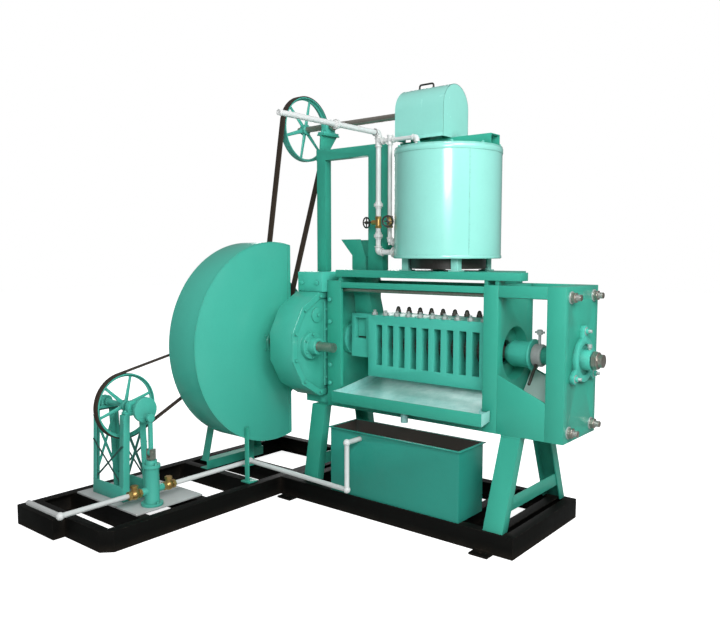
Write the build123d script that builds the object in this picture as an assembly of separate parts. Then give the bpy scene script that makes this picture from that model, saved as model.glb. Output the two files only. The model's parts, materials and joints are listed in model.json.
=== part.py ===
from build123d import *
import os
from math import acos, atan2, cos, degrees, hypot, pi, radians, sin, sqrt, tan

# Screw oil press with cooking kettle, plunger pump and oil tank, on two bolted channel skids.
# The frame: X along the worm shaft towards the cake outlet, Y across the press, Z up from the floor.
# The worm shaft lies over Y = 0. X = 0 is the middle of the first skid cross member under the cage.

# Skids
skid_height = 125.0
skid_width = 880.0
channel_flange = 65.0
channel_web = 6.5
main_skid_front = 1286.0
skid_joint_x = -546.0
pump_skid_width = 880.0
pump_skid_end_y = -1840.0
skid_nose_length = 75.0
skid_corner_cut = 60.0
cross_member_places = [0.0, 870.0]
lug_length = 120.0
lug_reach = 75.0
lug_thickness = 12.0
lug_first_x = -447.0
lug_spacing_x = 1552.0
lug_hole_inset = 36.0
anchor_hole_radius = 11.0

# Press frame
leg_height = 522.0
frame_half_width = 227.5
frame_height = 882.0
worm_axis_rise = 460.0
feed_frame_x = -284.0
feed_frame_depth = 125.0
throat_length = 180.0
cage_length = 936.0
chamber_plate_depth = 98.0
choke_bay_length = 305.0
end_frame_depth = 112.0
frame_wall = 25.0
frame_web = 30.0
rail_width = 20.0
top_rail_height = 40.0
bottom_rail_height = 50.0
bay_plate_thickness = 12.0
bay_top_bar_height = 70.0
gusset_high = 355.0
gusset_low = 222.0

# Legs of the press
leg_width = 125.0
leg_flange = 65.0
leg_plate = 8.0
leg_top_plate = 12.0
discharge_leg_x = 1085.0
discharge_leg_top_y = 227.0
discharge_leg_foot_y = 425.0
feed_leg_x = -400.0
feed_leg_top_y = 262.0
feed_leg_foot_y = 352.0
leg_tie_rise = 105.0
leg_tie_height = 80.0

# Tie rods
tie_rod_radius = 18.0
tie_rod_y = 160.0
tie_rod_low_rise = 59.0
tie_rod_high_drop = 59.0
tie_rod_end = 60.0
tie_nut_radius = 31.0
tie_nut_thickness = 30.0

# Worm shaft and barrel
shaft_radius = 38.0
running_clearance = 0.05
worm_shaft_start = -560.0
worm_shaft_end = 1604.0
worm_radius = 74.0
worm_hub_radius = 54.0
worm_clearance = 2.0
worm_count = 7
worm_gap = 18.0
flight_thickness = 14.0
lining_bar_depth = 18.0
lining_bar_count = 12
lining_gap = 0.6
rib_count = 10
rib_thickness = 42.0
cage_half_depth = 150.0
cage_bar_height = 29.0
cage_bar_depth = 62.0
cage_top_rise = 193.0
cage_bottom_drop = 228.0
cage_top_bar_height = 66.0
cage_low_bar_height = 80.0
cage_split_gap = 1.0
cage_stud_radius = 11.0
cage_stud_height = 34.0
cage_nut_radius = 17.0
cage_nut_thickness = 16.0

# Choke at the cake outlet
outlet_bore_radius = 165.0
choke_sleeve_radius = 80.0
choke_mouth_radius = 70.0
choke_sleeve_start = 1010.0
choke_ring_x = 1170.0
choke_ring_radius = 96.0
choke_ring_thickness = 14.0
choke_travel = 32.0
choke_nut_radius = 68.0
choke_nut_length = 58.0
choke_thread_radius = 52.0
choke_bar_radius = 9.0
choke_bar_up = 155.0
choke_bar_down = 210.0
choke_bar_turn = -40.0

# Bearings of the worm shaft
end_bearing_radius = 128.0
end_bearing_boss_radius = 74.0
end_bearing_hub_radius = 60.0
end_bearing_hub_length = 44.0
end_bearing_flange = 26.0
end_bearing_groove = 30.0
end_bearing_ear_radius = 32.0
end_bearing_ear_reach = 165.0
end_bearing_ear_turns = (90.0, 215.0, 325.0)
thrust_housing_radius = 95.0
thrust_housing_length = 70.0

# Gear train
gear_module = 10.0
bull_gear_teeth = 62
pinion_teeth = 15
gear_face = 110.0
gear_backlash = 1.0
pressure_angle = 25.0
pinion_drop = 23.0
gear_case_depth = 231.0
gear_case_wall = 12.0
gear_case_front_y = -199.0
gear_case_corner_y = -281.0
gear_case_back_y = 350.0
gear_case_rise = 940.0
gear_face_back = 60.0
cover_depth = 205.0
cover_radius = 364.0
cover_sides = 12
cover_fit = 0.5
cover_boss_radius = 92.0
cover_boss_length = 93.0
frame_bolt_rises = (163.0, 291.0, 595.0, 749.0)
frame_bolt_radius = 16.0
joint_bolt_radius = 11.0

# Drive shaft and its pulleys
drive_shaft_radius = 34.0
drive_shaft_end_radius = 32.0
drive_shaft_end_gap = 2.0
drive_keyway_length = 54.0
drive_shaft_front = -86.0
drive_shaft_back = -1200.0
kettle_belt_x = -700.0
kettle_belt_width = 50.0
kettle_drive_radius = 105.0
main_pulley_x = -835.0
main_pulley_radius = 500.0
main_pulley_face = 150.0
pump_belt_x = -1000.0
pump_belt_width = 40.0
pump_drive_radius = 75.0
belt_thickness = 7.0
belt_seat = 0.3
rim_thickness = 9.0
pulley_hub_radius = 60.0

# Belt guard and outboard bearing stand
guard_face_x = -656.0
guard_depth = 273.0
guard_radius = 710.0
guard_cut = 168.0
guard_sheet = 4.0
guard_shaft_hole = 58.0
guard_slot_margin = 20.0
guard_leg_size = 40.0
guard_front_leg_y = -682.0
outboard_x = -1125.0
outboard_foot_spread = 281.0
outboard_channel_height = 65.0
outboard_leg_size = 50.0

# Kettle, deck and mast
deck_start = -204.0
deck_end = 1198.0
deck_rear_end = 1000.0
deck_front_strip = 90.0
deck_half_width = 230.0
deck_gap = 27.0
deck_height = 48.0
deck_sheet = 8.0
kettle_x = 554.0
kettle_radius = 343.0
kettle_rise = 79.0
kettle_height = 692.0
kettle_wall = 6.0
pan_radius = 300.0
pan_floor_rise = 55.0
kettle_leg_size = 50.0
kettle_leg_circle = 262.0
skirt_radius = 250.0
skirt_lift = 14.0
lid_sheet = 5.0
lid_hole_radius = 45.0
charge_opening_width = 230.0
charge_opening_depth = 130.0
beam_height = 62.0
beam_half_width = 55.0
line_shaft_rise = 256.0
line_shaft_radius = 22.0
line_shaft_start = -760.0
top_pulley_radius = 234.0
box_guard_start = 240.0
box_guard_length = 370.0
box_guard_half_width = 148.0
box_guard_sheet = 3.0
box_guard_lift = 150.0
bevel_module = 5.5
bevel_teeth = 16
bevel_face = 18.0
stirrer_radius = 20.0
stirrer_arm_height = 40.0
outlet_y = 35.0
gate_width = 90.0
gate_height = 70.0
gate_lift = 60.0
gate_margin = 8.0
gate_thickness = 8.0
gate_guide = 13.0
mast_left_x = -500.0
mast_bar_overhang = 5.0
mast_bearing_shift = 30.0
mast_left_width = 80.0
mast_right_x = -26.0
mast_right_width = 125.0
mast_depth = 64.0
mast_y = -60.0
mast_bar_height = 72.0
mast_bar_drop = 180.0

# Hopper
hopper_neck_x0 = -190.0
hopper_neck_x1 = -74.0
hopper_neck_half = 58.0
hopper_flare = 55.0
hopper_neck_height = 98.0
hopper_flare_height = 111.0
sheet = 4.0

# Oil tray and tank
tray_front_y = -330.0
tray_back_y = 205.0
tray_start = -150.0
tray_end = 950.0
tray_gutter_end = 1015.0
tray_gutter_back_y = -236.0
tray_front_rise = 74.0
tray_back_rise = 164.0
tray_gutter_fall = 17.0
tray_lip = 73.0
tray_foot = 16.0
tray_sheet = 4.0
tank_start = -75.0
tank_length = 1000.0
tank_front_y = -430.0
tank_back_y = -150.0
tank_height = 435.0
tank_sheet = 5.0
tank_rim = 14.0

# Plunger pump
pump_y = -1390.0
pump_shaft_height = 737.0
pump_shaft_radius = 17.0
pump_pulley_radius = 209.0
stand_x0 = -1250.0
stand_x1 = -900.0
stand_half_depth = 100.0
stand_angle = 45.0
stand_taper = 22.0
stand_top_drop = 42.0
base_plate_thickness = 12.0
plate_y0 = -1560.0
plate_y1 = -1060.0
crank_disc_radius = 80.0
crank_disc_back = -800.0
crank_disc_thickness = 28.0
crank_throw = 45.0
crank_pin_radius = 12.0
crank_pin_length = 26.0
open_pivot_gap = 0.8
conrod_thickness = 26.0
conrod_length = 222.0
conrod_eye = 26.0
crosshead_pin_radius = 9.0
plunger_radius = 20.0
cylinder_radius = 47.0
cylinder_height = 260.0
gland_radius = 36.0
gland_height = 28.0
pump_port_height = 96.0

# Pipework
pipe_radius = 16.0
pipe_wall = 4.0
steam_pipe_radius = 17.0
drop_pipe_y = -200.0
inlet_drop_x = 146.0
bypass_drop_x = 240.0
header_height = 2498.0
header_end_y = -1110.0
valve_height = 1920.0
valve_stem_length = 100.0
bypass_stem_turn = -60.0
lid_pipe_x = 450.0
suction_run_y = -560.0
suction_riser_x = 175.0
delivery_turn_y = -2000.0
delivery_end_x = -1100.0
handwheel_radius = 34.0
stem_radius = 7.0

# Heights worked out from the sizes above
frame_bottom = skid_height + leg_height
frame_top = frame_bottom + frame_height
worm_z = frame_bottom + worm_axis_rise
feed_frame_end = feed_frame_x + feed_frame_depth
cage_start = feed_frame_end + throat_length
cage_end = cage_start + cage_length
chamber_end = cage_end + chamber_plate_depth
bay_end = chamber_end + choke_bay_length
frame_end = bay_end + end_frame_depth
deck_bottom = frame_top + deck_gap
deck_top = deck_bottom + deck_height
kettle_bottom = deck_top + kettle_rise
kettle_top = kettle_bottom + kettle_height
pan_floor = kettle_bottom + pan_floor_rise
lid_top = kettle_top + lid_sheet
beam_top = lid_top + beam_height
line_shaft_z = kettle_top + line_shaft_rise
barrel_radius = worm_radius + worm_clearance
lining_radius = barrel_radius + lining_bar_depth
gear_distance = gear_module * (bull_gear_teeth + pinion_teeth) / 2
drive_y = -sqrt(gear_distance**2 - pinion_drop**2)
drive_z = worm_z - pinion_drop
gear_case_x = feed_frame_x - gear_case_depth
gear_case_top = frame_bottom + gear_case_rise
cover_front_x = gear_case_x + cover_depth
drive_shaft_step = cover_front_x + cover_boss_length + drive_shaft_end_gap
gear_start = gear_case_x + gear_face_back
gear_end = gear_start + gear_face
guard_cut_y = drive_y + guard_cut
guard_back_x = guard_face_x - guard_depth
pump_skid_x0 = skid_joint_x - pump_skid_width
skid_half = skid_width / 2
bevel_radius = bevel_module * bevel_teeth / 2
plate_top = skid_height + base_plate_thickness
conrod_x = crank_disc_back + crank_disc_thickness + crank_pin_length + open_pivot_gap
pump_x = conrod_x + conrod_thickness / 2
crank_pin_z = pump_shaft_height - crank_throw
crosshead_z = crank_pin_z - conrod_length


def block(x0, x1, y0, y1, z0, z1):
    return Pos((x0 + x1) / 2, (y0 + y1) / 2, (z0 + z1) / 2) * Box(x1 - x0, y1 - y0, z1 - z0)


def bar_x(x0, x1, y, z, radius):
    return Pos((x0 + x1) / 2, y, z) * Rotation(0, 90, 0) * Cylinder(radius, x1 - x0)


def bar_y(y0, y1, x, z, radius):
    return Pos(x, (y0 + y1) / 2, z) * Rotation(90, 0, 0) * Cylinder(radius, y1 - y0)


def bar_z(z0, z1, x, y, radius):
    return Pos(x, y, (z0 + z1) / 2) * Cylinder(radius, z1 - z0)


def prism_x(points, x0, x1):
    return extrude(Plane.YZ.offset(x0) * make_face(Polyline(*points, close=True)), x1 - x0)


def prism_y(points, y0, y1):
    return extrude(Plane.XZ.offset(-y1) * make_face(Polyline(*points, close=True)), y1 - y0)


def prism_z(points, z0, z1):
    return extrude(Plane.XY.offset(z0) * make_face(Polyline(*points, close=True)), z1 - z0)


def hexagon_x(x0, x1, y, z, radius):
    corners = [(y + radius * cos(i * pi / 3), z + radius * sin(i * pi / 3)) for i in range(6)]
    return prism_x(corners, x0, x1)


def hexagon_z(z0, z1, x, y, radius):
    corners = [(x + radius * cos(i * pi / 3), y + radius * sin(i * pi / 3)) for i in range(6)]
    return prism_z(corners, z0, z1)


def hexagon_y(y0, y1, x, z, radius):
    corners = [(x + radius * cos(i * pi / 3), z + radius * sin(i * pi / 3)) for i in range(6)]
    return prism_y(corners, y0, y1)


def group(shapes):
    return Compound([solid for shape in shapes for solid in shape.solids()])


def save(shape, name):
    export_step(shape, "parts/" + name + ".step")


# A channel along X or Y, its web at one side and its flanges towards the other
def channel_x(x0, x1, web_y, side):
    inner_y = web_y + side * channel_web
    edge_y = web_y + side * channel_flange
    web = block(x0, x1, min(web_y, inner_y), max(web_y, inner_y), 0, skid_height)
    lower = block(x0, x1, min(web_y, edge_y), max(web_y, edge_y), 0, channel_web)
    upper = Pos(0, 0, skid_height - channel_web) * lower
    return web + lower + upper


def channel_y(y0, y1, web_x, side):
    inner_x = web_x + side * channel_web
    edge_x = web_x + side * channel_flange
    web = block(min(web_x, inner_x), max(web_x, inner_x), y0, y1, 0, skid_height)
    lower = block(min(web_x, edge_x), max(web_x, edge_x), y0, y1, 0, channel_web)
    upper = Pos(0, 0, skid_height - channel_web) * lower
    return web + lower + upper


def main_skid():
    frame = channel_x(skid_joint_x, main_skid_front, -skid_half, 1)
    frame += channel_x(skid_joint_x, main_skid_front, skid_half, -1)
    frame += channel_y(-skid_half, skid_half, skid_joint_x, 1)
    frame += channel_y(-skid_half, skid_half, main_skid_front, -1)
    for place in [feed_leg_x, *cross_member_places, discharge_leg_x + leg_flange]:
        frame += channel_y(-skid_half, skid_half, place - channel_flange / 2, 1)
    for middle in (lug_first_x, lug_first_x + lug_spacing_x):
        for side in (-1, 1):
            lug = block(middle - lug_length / 2, middle + lug_length / 2, 0, lug_reach, 0, lug_thickness)
            lug -= bar_z(0, lug_thickness, middle, lug_hole_inset, anchor_hole_radius)
            frame += Pos(0, side * skid_half, 0) * (lug if side > 0 else mirror(lug, Plane.XZ))
    return frame


def pump_skid():
    x0 = pump_skid_x0
    x1 = skid_joint_x
    y0 = pump_skid_end_y
    frame = channel_y(y0, skid_half, x0, 1)
    frame += channel_y(y0, skid_half, x1, -1)
    frame += channel_x(x0, x1, y0, 1)
    frame += channel_x(x0, x1, skid_half, -1)
    for place in (plate_y0, plate_y1 - channel_flange, drive_y - outboard_foot_spread, -skid_half + lug_length):
        frame += channel_x(x0, x1, place, 1)
    nose_x = x0 + pump_skid_width / 2
    frame += channel_x(x0, nose_x, y0 - skid_nose_length, 1)
    frame += channel_y(y0 - skid_nose_length, y0, nose_x, -1)
    corner = [(x1 - skid_corner_cut, y0), (x1, y0), (x1, y0 + skid_corner_cut)]
    frame -= prism_z(corner, 0, skid_height)
    plate = [
        (x1 - skid_corner_cut, y0),
        (x1, y0 + skid_corner_cut),
        (x1 - channel_web, y0 + skid_corner_cut),
        (x1 - skid_corner_cut, y0 + channel_web),
    ]
    return frame + prism_z(plate, 0, skid_height)


# One splayed channel leg: its web faces outwards, its flanges point under the press
def splayed_leg(x0, top_y, foot_y):
    z0 = skid_height
    z1 = frame_bottom - leg_top_plate
    web = [(foot_y, z0), (foot_y - leg_plate, z0), (top_y - leg_plate, z1), (top_y, z1)]
    flange = [(foot_y, z0), (foot_y - leg_flange, z0), (top_y - leg_flange, z1), (top_y, z1)]
    leg = prism_x(web, x0, x0 + leg_width)
    leg += prism_x(flange, x0, x0 + leg_plate)
    leg += prism_x(flange, x0 + leg_width - leg_plate, x0 + leg_width)
    return leg


def leg_frame(x0, top_y, foot_y):
    leg = splayed_leg(x0, top_y, foot_y)
    frame = leg + mirror(leg, Plane.XZ)
    top_half = max(top_y, frame_half_width)
    frame += block(x0, x0 + leg_width, -top_half, top_half, frame_bottom - leg_top_plate, frame_bottom)
    tie_bottom = skid_height + leg_tie_rise
    tie_top = tie_bottom + leg_tie_height
    reach = foot_y - leg_plate - (foot_y - top_y) * leg_tie_rise / leg_height
    top_reach = foot_y - leg_plate - (foot_y - top_y) * (leg_tie_rise + leg_tie_height) / leg_height
    tie = [(-reach, tie_bottom), (reach, tie_bottom), (top_reach, tie_top), (-top_reach, tie_top)]
    frame += prism_x(tie, x0 + leg_width - 2 * leg_plate, x0 + leg_width - leg_plate)
    return frame


def leg_frames():
    feed = leg_frame(feed_leg_x, feed_leg_top_y, feed_leg_foot_y)
    discharge = leg_frame(discharge_leg_x, discharge_leg_top_y, discharge_leg_foot_y)
    return group([feed, discharge])


def tie_rod_places():
    low = frame_bottom + tie_rod_low_rise
    high = frame_top - tie_rod_high_drop
    return [(side * tie_rod_y, z) for side in (-1, 1) for z in (low, high)]


def drill_tie_rods(body, x0, x1):
    for y, z in tie_rod_places():
        body -= bar_x(x0, x1, y, z, tie_rod_radius + 1)
    return body


def feed_end_frame():
    x0 = feed_frame_x
    x1 = feed_frame_end
    frame = block(x0, x1, -frame_half_width, frame_half_width, frame_bottom, frame_top)
    inner = frame_half_width - frame_wall
    pocket = block(x0 + frame_web, x1, -inner, inner, frame_bottom + frame_wall, frame_top - frame_wall)
    frame -= pocket
    frame += bar_x(x0 + frame_web, x0 + frame_web + thrust_housing_length / 4, 0, worm_z, thrust_housing_radius + 20)
    frame -= bar_x(x0, x1, 0, worm_z, thrust_housing_radius)
    frame = drill_tie_rods(frame, x0, x1)
    neck = hopper_neck_half + sheet
    frame -= block(hopper_neck_x0 - sheet, x1, -neck, neck, frame_top - frame_wall, frame_top)
    return frame


def chamber_end_plate():
    plate = block(cage_end, chamber_end, -frame_half_width, frame_half_width, frame_bottom, frame_top)
    plate -= bar_x(cage_end, cage_end + frame_web, 0, worm_z, barrel_radius)
    plate -= bar_x(cage_end + frame_web, chamber_end, 0, worm_z, outlet_bore_radius)
    return drill_tie_rods(plate, cage_end, chamber_end)


def end_frame():
    frame = block(bay_end, frame_end, -frame_half_width, frame_half_width, frame_bottom, frame_top)
    inner = frame_half_width - frame_wall
    pocket = block(bay_end, frame_end - frame_web, -inner, inner, frame_bottom + frame_wall, frame_top - frame_wall)
    frame -= pocket
    frame += bar_x(bay_end, frame_end - frame_web, 0, worm_z, end_bearing_boss_radius)
    nut_end = choke_ring_x + choke_ring_thickness + choke_nut_length
    screw_start = nut_end - choke_nut_length
    frame += bar_x(screw_start, frame_end - frame_web, 0, worm_z, choke_thread_radius)
    frame -= bar_x(screw_start, frame_end, 0, worm_z, shaft_radius + worm_clearance)
    frame -= bar_x(frame_end - frame_web, frame_end, 0, worm_z, end_bearing_boss_radius - 6)
    return drill_tie_rods(frame, bay_end, frame_end)


def side_rails():
    rails = []
    outer = frame_half_width
    inner = outer - rail_width
    plate_in = outer - bay_plate_thickness
    gusset = [
        (chamber_end, frame_bottom),
        (bay_end, frame_bottom),
        (bay_end, frame_bottom + gusset_low),
        (chamber_end, frame_bottom + gusset_high),
    ]
    top = frame_top - 9
    for side in (-1, 1):
        y0, y1 = sorted((side * inner, side * outer))
        rails.append(block(feed_frame_end, cage_end, y0, y1, top - top_rail_height, top))
        rails.append(block(feed_frame_end, cage_end, y0, y1, frame_bottom, frame_bottom + bottom_rail_height))
        y0, y1 = sorted((side * plate_in, side * outer))
        rails.append(prism_y(gusset, y0, y1))
        y0, y1 = sorted((side * inner, side * outer))
        rails.append(block(chamber_end, bay_end, y0, y1, frame_top - bay_top_bar_height, frame_top))
    return group(rails)


def tie_rods():
    rods = []
    start = feed_frame_x + frame_web - tie_nut_thickness / 2
    for y, z in tie_rod_places():
        back = feed_frame_x + frame_web
        rod = bar_x(back - frame_web + 2, frame_end + tie_rod_end, y, z, tie_rod_radius)
        rod += hexagon_x(back, back + tie_nut_thickness, y, z, tie_nut_radius)
        rod += hexagon_x(frame_end, frame_end + tie_nut_thickness, y, z, tie_nut_radius)
        rods.append(rod)
    return group(rods)


def worm_shaft():
    return bar_x(worm_shaft_start, worm_shaft_end, 0, worm_z, shaft_radius)


# Worm sections, each a hub with one helical flight, in shorter pitches towards the outlet
def worm_sections():
    sections = []
    start = feed_frame_end + 8
    total = cage_end - start - worm_gap * (worm_count - 1)
    weights = [1.9 - 0.16 * i for i in range(worm_count)]
    x = start
    for weight in weights:
        length = total * weight / sum(weights)
        turn = length - flight_thickness
        hub = Cylinder(worm_hub_radius, length) - Cylinder(shaft_radius, length)
        path = Helix(turn, turn, worm_hub_radius)
        depth = worm_radius - worm_hub_radius + 4
        start_plane = Plane(path @ 0, x_dir=(1, 0, 0), z_dir=path % 0)
        profile = start_plane * (Pos(depth / 2 - 4, 0, 0) * Rectangle(depth, flight_thickness))
        flight = sweep(profile, path=path, is_frenet=True)
        trim = Cylinder(worm_radius, length) - Cylinder(worm_hub_radius - 3, length)
        flight = Pos(0, 0, -turn / 2) * flight & trim
        section = hub + flight
        sections.append(Pos(x + length / 2, 0, worm_z) * Rotation(0, 90, 0) * section)
        x += length + worm_gap
    return group(sections)


def lining_bars():
    bars = []
    step = pi / lining_bar_count
    for side in (-1, 1):
        for i in range(lining_bar_count):
            middle = side * (step * (i + 0.5))
            half = step / 2
            inner_gap = lining_gap / barrel_radius
            outer_radius = lining_radius / cos(half) - 1.5
            inner_radius = barrel_radius / cos(half) + 0.2
            corners = []
            for radius, turn in (
                (inner_radius, -half + inner_gap),
                (outer_radius, -half + inner_gap),
                (outer_radius, half - inner_gap),
                (inner_radius, half - inner_gap),
            ):
                corners.append((radius * sin(middle + turn), worm_z + radius * cos(middle + turn)))
            bars.append(prism_x(corners, cage_start, cage_end))
    return group(bars)


# Half of the pressing cage: rib plates between an upper and a lower bar, around the lining bars
def cage_half(side):
    z0 = worm_z - cage_bottom_drop
    z1 = worm_z + cage_top_rise
    inner = cage_split_gap / 2
    pitch = cage_length / rib_count
    z_low = z0 + cage_low_bar_height
    z_high = z1 - cage_top_bar_height
    shape = block(cage_start, cage_end, inner, cage_bar_depth, z1 - cage_bar_height, z1)
    shape += block(cage_start, cage_end, inner, cage_bar_depth, z0, z0 + cage_bar_height)
    front = cage_half_depth
    shape += block(cage_start, cage_end, front - cage_bar_height, front, z_high, z1)
    shape += block(cage_start, cage_end, front - cage_bar_height, front, z0, z_low)
    for i in range(rib_count):
        middle = cage_start + pitch * (i + 0.5)
        shape += block(middle - rib_thickness / 2, middle + rib_thickness / 2, inner, front, z0, z1)
    for x in (cage_start, cage_end - cage_bar_height):
        shape += block(x, x + cage_bar_height, inner, front, z0, z1)
    shape -= bar_x(cage_start, cage_end, 0, worm_z, lining_radius)
    for i in range(rib_count):
        middle = cage_start + pitch * (i + 0.5)
        stud_y = front - cage_bar_height / 2
        shape -= bar_z(z1 - cage_bar_height, z1, middle, stud_y, cage_stud_radius + 0.5)
    return shape if side > 0 else mirror(shape, Plane.XZ)


def cage_bolts():
    bolts = []
    z1 = worm_z + cage_top_rise
    pitch = cage_length / rib_count
    for side in (-1, 1):
        y = side * (cage_half_depth - cage_bar_height / 2)
        for i in range(rib_count):
            x = cage_start + pitch * (i + 0.5)
            bolt = bar_z(z1 - cage_bar_height, z1 + cage_stud_height, x, y, cage_stud_radius)
            bolt += hexagon_z(z1, z1 + cage_nut_thickness, x, y, cage_nut_radius)
            bolts.append(bolt)
    return group(bolts)


# Casting around the feed worm, open at the top under the chute
def feed_throat():
    half = barrel_radius + 34
    z0 = worm_z - half
    z1 = worm_z + cage_top_rise
    throat = block(feed_frame_end, cage_start, -half, half, z0, z1)
    throat -= bar_x(feed_frame_end, cage_start, 0, worm_z, barrel_radius)
    x0 = feed_frame_end + sheet
    x1 = cage_start - 30
    throat -= block(x0, x1, -hopper_neck_half, hopper_neck_half, worm_z, z1)
    window = block(x0 + 30, x1 - 20, -half, -hopper_neck_half - 12, worm_z + 20, z1 - 30)
    throat -= window
    throat -= mirror(window, Plane.XZ)
    return throat


def choke_cone():
    x0 = choke_sleeve_start
    profile = [
        (x0, shaft_radius + 2),
        (x0, choke_mouth_radius - 14),
        (x0 + 40, choke_sleeve_radius),
        (choke_ring_x, choke_sleeve_radius),
        (choke_ring_x, choke_ring_radius),
        (choke_ring_x + choke_ring_thickness, choke_ring_radius),
        (choke_ring_x + choke_ring_thickness, shaft_radius + 2),
    ]
    face = make_face(Polyline(*profile, close=True))
    cone = revolve(Plane.XY * face, Axis.X, 360)
    return Pos(0, 0, worm_z) * cone


def choke_nut():
    x0 = choke_ring_x + choke_ring_thickness
    x1 = x0 + choke_nut_length
    nut = bar_x(x0, x1, 0, worm_z, choke_nut_radius)
    middle = (x0 + x1) / 2
    nut += bar_z(worm_z, worm_z + choke_bar_up, middle, 0, choke_bar_radius)
    low_bar = bar_z(-choke_bar_down, 0, middle, 0, choke_bar_radius)
    nut += Pos(0, 0, worm_z) * Rotation(choke_bar_turn, 0, 0) * low_bar
    nut -= bar_x(x0, x1, 0, worm_z, choke_thread_radius + running_clearance)
    return nut


def worm_bearings():
    x1 = frame_end + end_bearing_flange
    end = bar_x(frame_end, x1, 0, worm_z, end_bearing_radius)
    for ear_turn in end_bearing_ear_turns:
        turn = radians(ear_turn)
        y = end_bearing_ear_reach * cos(turn)
        z = worm_z + end_bearing_ear_reach * sin(turn)
        ear = bar_x(frame_end, x1, y, z, end_bearing_ear_radius)
        arm_side = end_bearing_ear_radius
        direction = (cos(turn), sin(turn))
        normal = (-direction[1], direction[0])
        arm = [
            (arm_side * normal[0], worm_z + arm_side * normal[1]),
            (y + arm_side * normal[0], z + arm_side * normal[1]),
            (y - arm_side * normal[0], z - arm_side * normal[1]),
            (-arm_side * normal[0], worm_z - arm_side * normal[1]),
        ]
        end += ear + prism_x(arm, frame_end, x1)
        end += hexagon_x(x1, x1 + cage_nut_thickness, y, z, cage_nut_radius)
    end += bar_x(frame_end - frame_web + 1, x1, 0, worm_z, end_bearing_boss_radius - 7)
    groove = bar_x(x1 - end_bearing_flange / 2, x1, 0, worm_z, end_bearing_hub_radius + end_bearing_groove)
    end -= groove
    end += bar_x(x1 - end_bearing_flange, x1 + end_bearing_hub_length, 0, worm_z, end_bearing_hub_radius)
    end -= bar_x(bay_end, x1 + end_bearing_hub_length, 0, worm_z, shaft_radius + running_clearance)
    thrust_x0 = feed_frame_x
    thrust_x1 = thrust_x0 + thrust_housing_length
    thrust = bar_x(thrust_x0, thrust_x1, 0, worm_z, thrust_housing_radius - 0.2)
    ring_x0 = thrust_x0 + frame_web + thrust_housing_length / 4
    thrust += bar_x(ring_x0, thrust_x1, 0, worm_z, thrust_housing_radius + 16)
    thrust -= bar_x(thrust_x0, thrust_x1, 0, worm_z, shaft_radius + running_clearance)
    back = bar_x(gear_case_x - 26, gear_case_x, 0, worm_z, thrust_housing_radius)
    back -= bar_x(gear_case_x - 26, gear_case_x, 0, worm_z, shaft_radius + running_clearance)
    return group([end, thrust, back])


# Involute gear outline with a tooth centred at the angle first, as points around a centre
def gear_points(teeth, first, centre_y, centre_z):
    pitch = gear_module * teeth / 2
    base = pitch * cos(radians(pressure_angle))
    root = pitch - gear_module
    tip = pitch + 0.8 * gear_module
    spread = tan(radians(pressure_angle)) - radians(pressure_angle)
    half_tooth = (pi * gear_module / 2 - gear_backlash) / 2 / pitch
    radii = [root, max(base, root + 1), (pitch + max(base, root)) / 2, pitch + 0.3 * gear_module, tip]
    flank = []
    for radius in radii:
        angle = acos(min(1, base / radius)) if radius > base else 0
        flank.append((radius, half_tooth + spread - (tan(angle) - angle)))
    points = []
    for i in range(teeth):
        middle = first + 2 * pi * i / teeth
        tooth = [(r, middle - h) for r, h in flank] + [(r, middle + h) for r, h in reversed(flank)]
        points += [(centre_y + r * cos(a), centre_z + r * sin(a)) for r, a in tooth]
    return points


def gear_line():
    return atan2(drive_z - worm_z, drive_y)


def bull_gear():
    gear = prism_x(gear_points(bull_gear_teeth, gear_line(), 0, worm_z), gear_start, gear_end)
    rim_inner = gear_module * bull_gear_teeth / 2 - 3.2 * gear_module
    recess = bar_x(0, gear_face / 2 - 14, 0, worm_z, rim_inner) - bar_x(0, gear_face, 0, worm_z, 85)
    gear -= Pos(gear_start, 0, 0) * recess
    gear -= Pos(gear_end - gear_face / 2 + 14, 0, 0) * recess
    for i in range(6):
        turn = pi * i / 3
        reach = (rim_inner + 85) / 2
        gear -= bar_x(gear_start, gear_end, reach * cos(turn), worm_z + reach * sin(turn), 52)
    gear -= bar_x(gear_start, gear_end, 0, worm_z, shaft_radius)
    return gear


def pinion():
    first = gear_line() + pi + pi / pinion_teeth
    shape = prism_x(gear_points(pinion_teeth, first, drive_y, drive_z), gear_start - 5, gear_end + 5)
    return shape - bar_x(gear_start - 5, gear_end + 5, drive_y, drive_z, drive_shaft_radius)


def cover_outline(radius):
    turn = pi / cover_sides
    corner = radius / cos(turn)
    centre_z = worm_z - pinion_drop
    points = []
    for i in range(cover_sides):
        angle = turn + 2 * pi * i / cover_sides
        points.append((gear_case_front_y + corner * cos(angle), centre_z + corner * sin(angle)))
    return points


def gear_case():
    x0 = gear_case_x
    x1 = feed_frame_x
    wall = gear_case_wall
    case = block(x0, x1, gear_case_corner_y, gear_case_back_y, frame_bottom, gear_case_top)
    case -= block(x0 + wall, x1 - wall, gear_case_corner_y, gear_case_back_y - wall, frame_bottom + wall, gear_case_top - wall)
    front = cover_outline(cover_radius + cover_fit)
    clear = prism_x(front, x0, x1)
    clear -= block(x0, x1, gear_case_front_y, gear_case_back_y, frame_bottom, gear_case_top)
    case -= clear
    lower = gear_case_front_y
    case -= block(x0, x1, gear_case_corner_y, lower, frame_bottom, drive_z)
    case += block(x0, x1, lower, lower + wall, frame_bottom, drive_z - cover_radius)
    over = drive_z + cover_radius + cover_fit
    case += block(x0, x1, gear_case_corner_y, gear_case_corner_y + wall, over, gear_case_top)
    case -= bar_x(x0, x0 + wall, 0, worm_z, shaft_radius + 6)
    case -= bar_x(x1 - wall, x1, 0, worm_z, thrust_housing_radius - 20)
    return case


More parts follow.
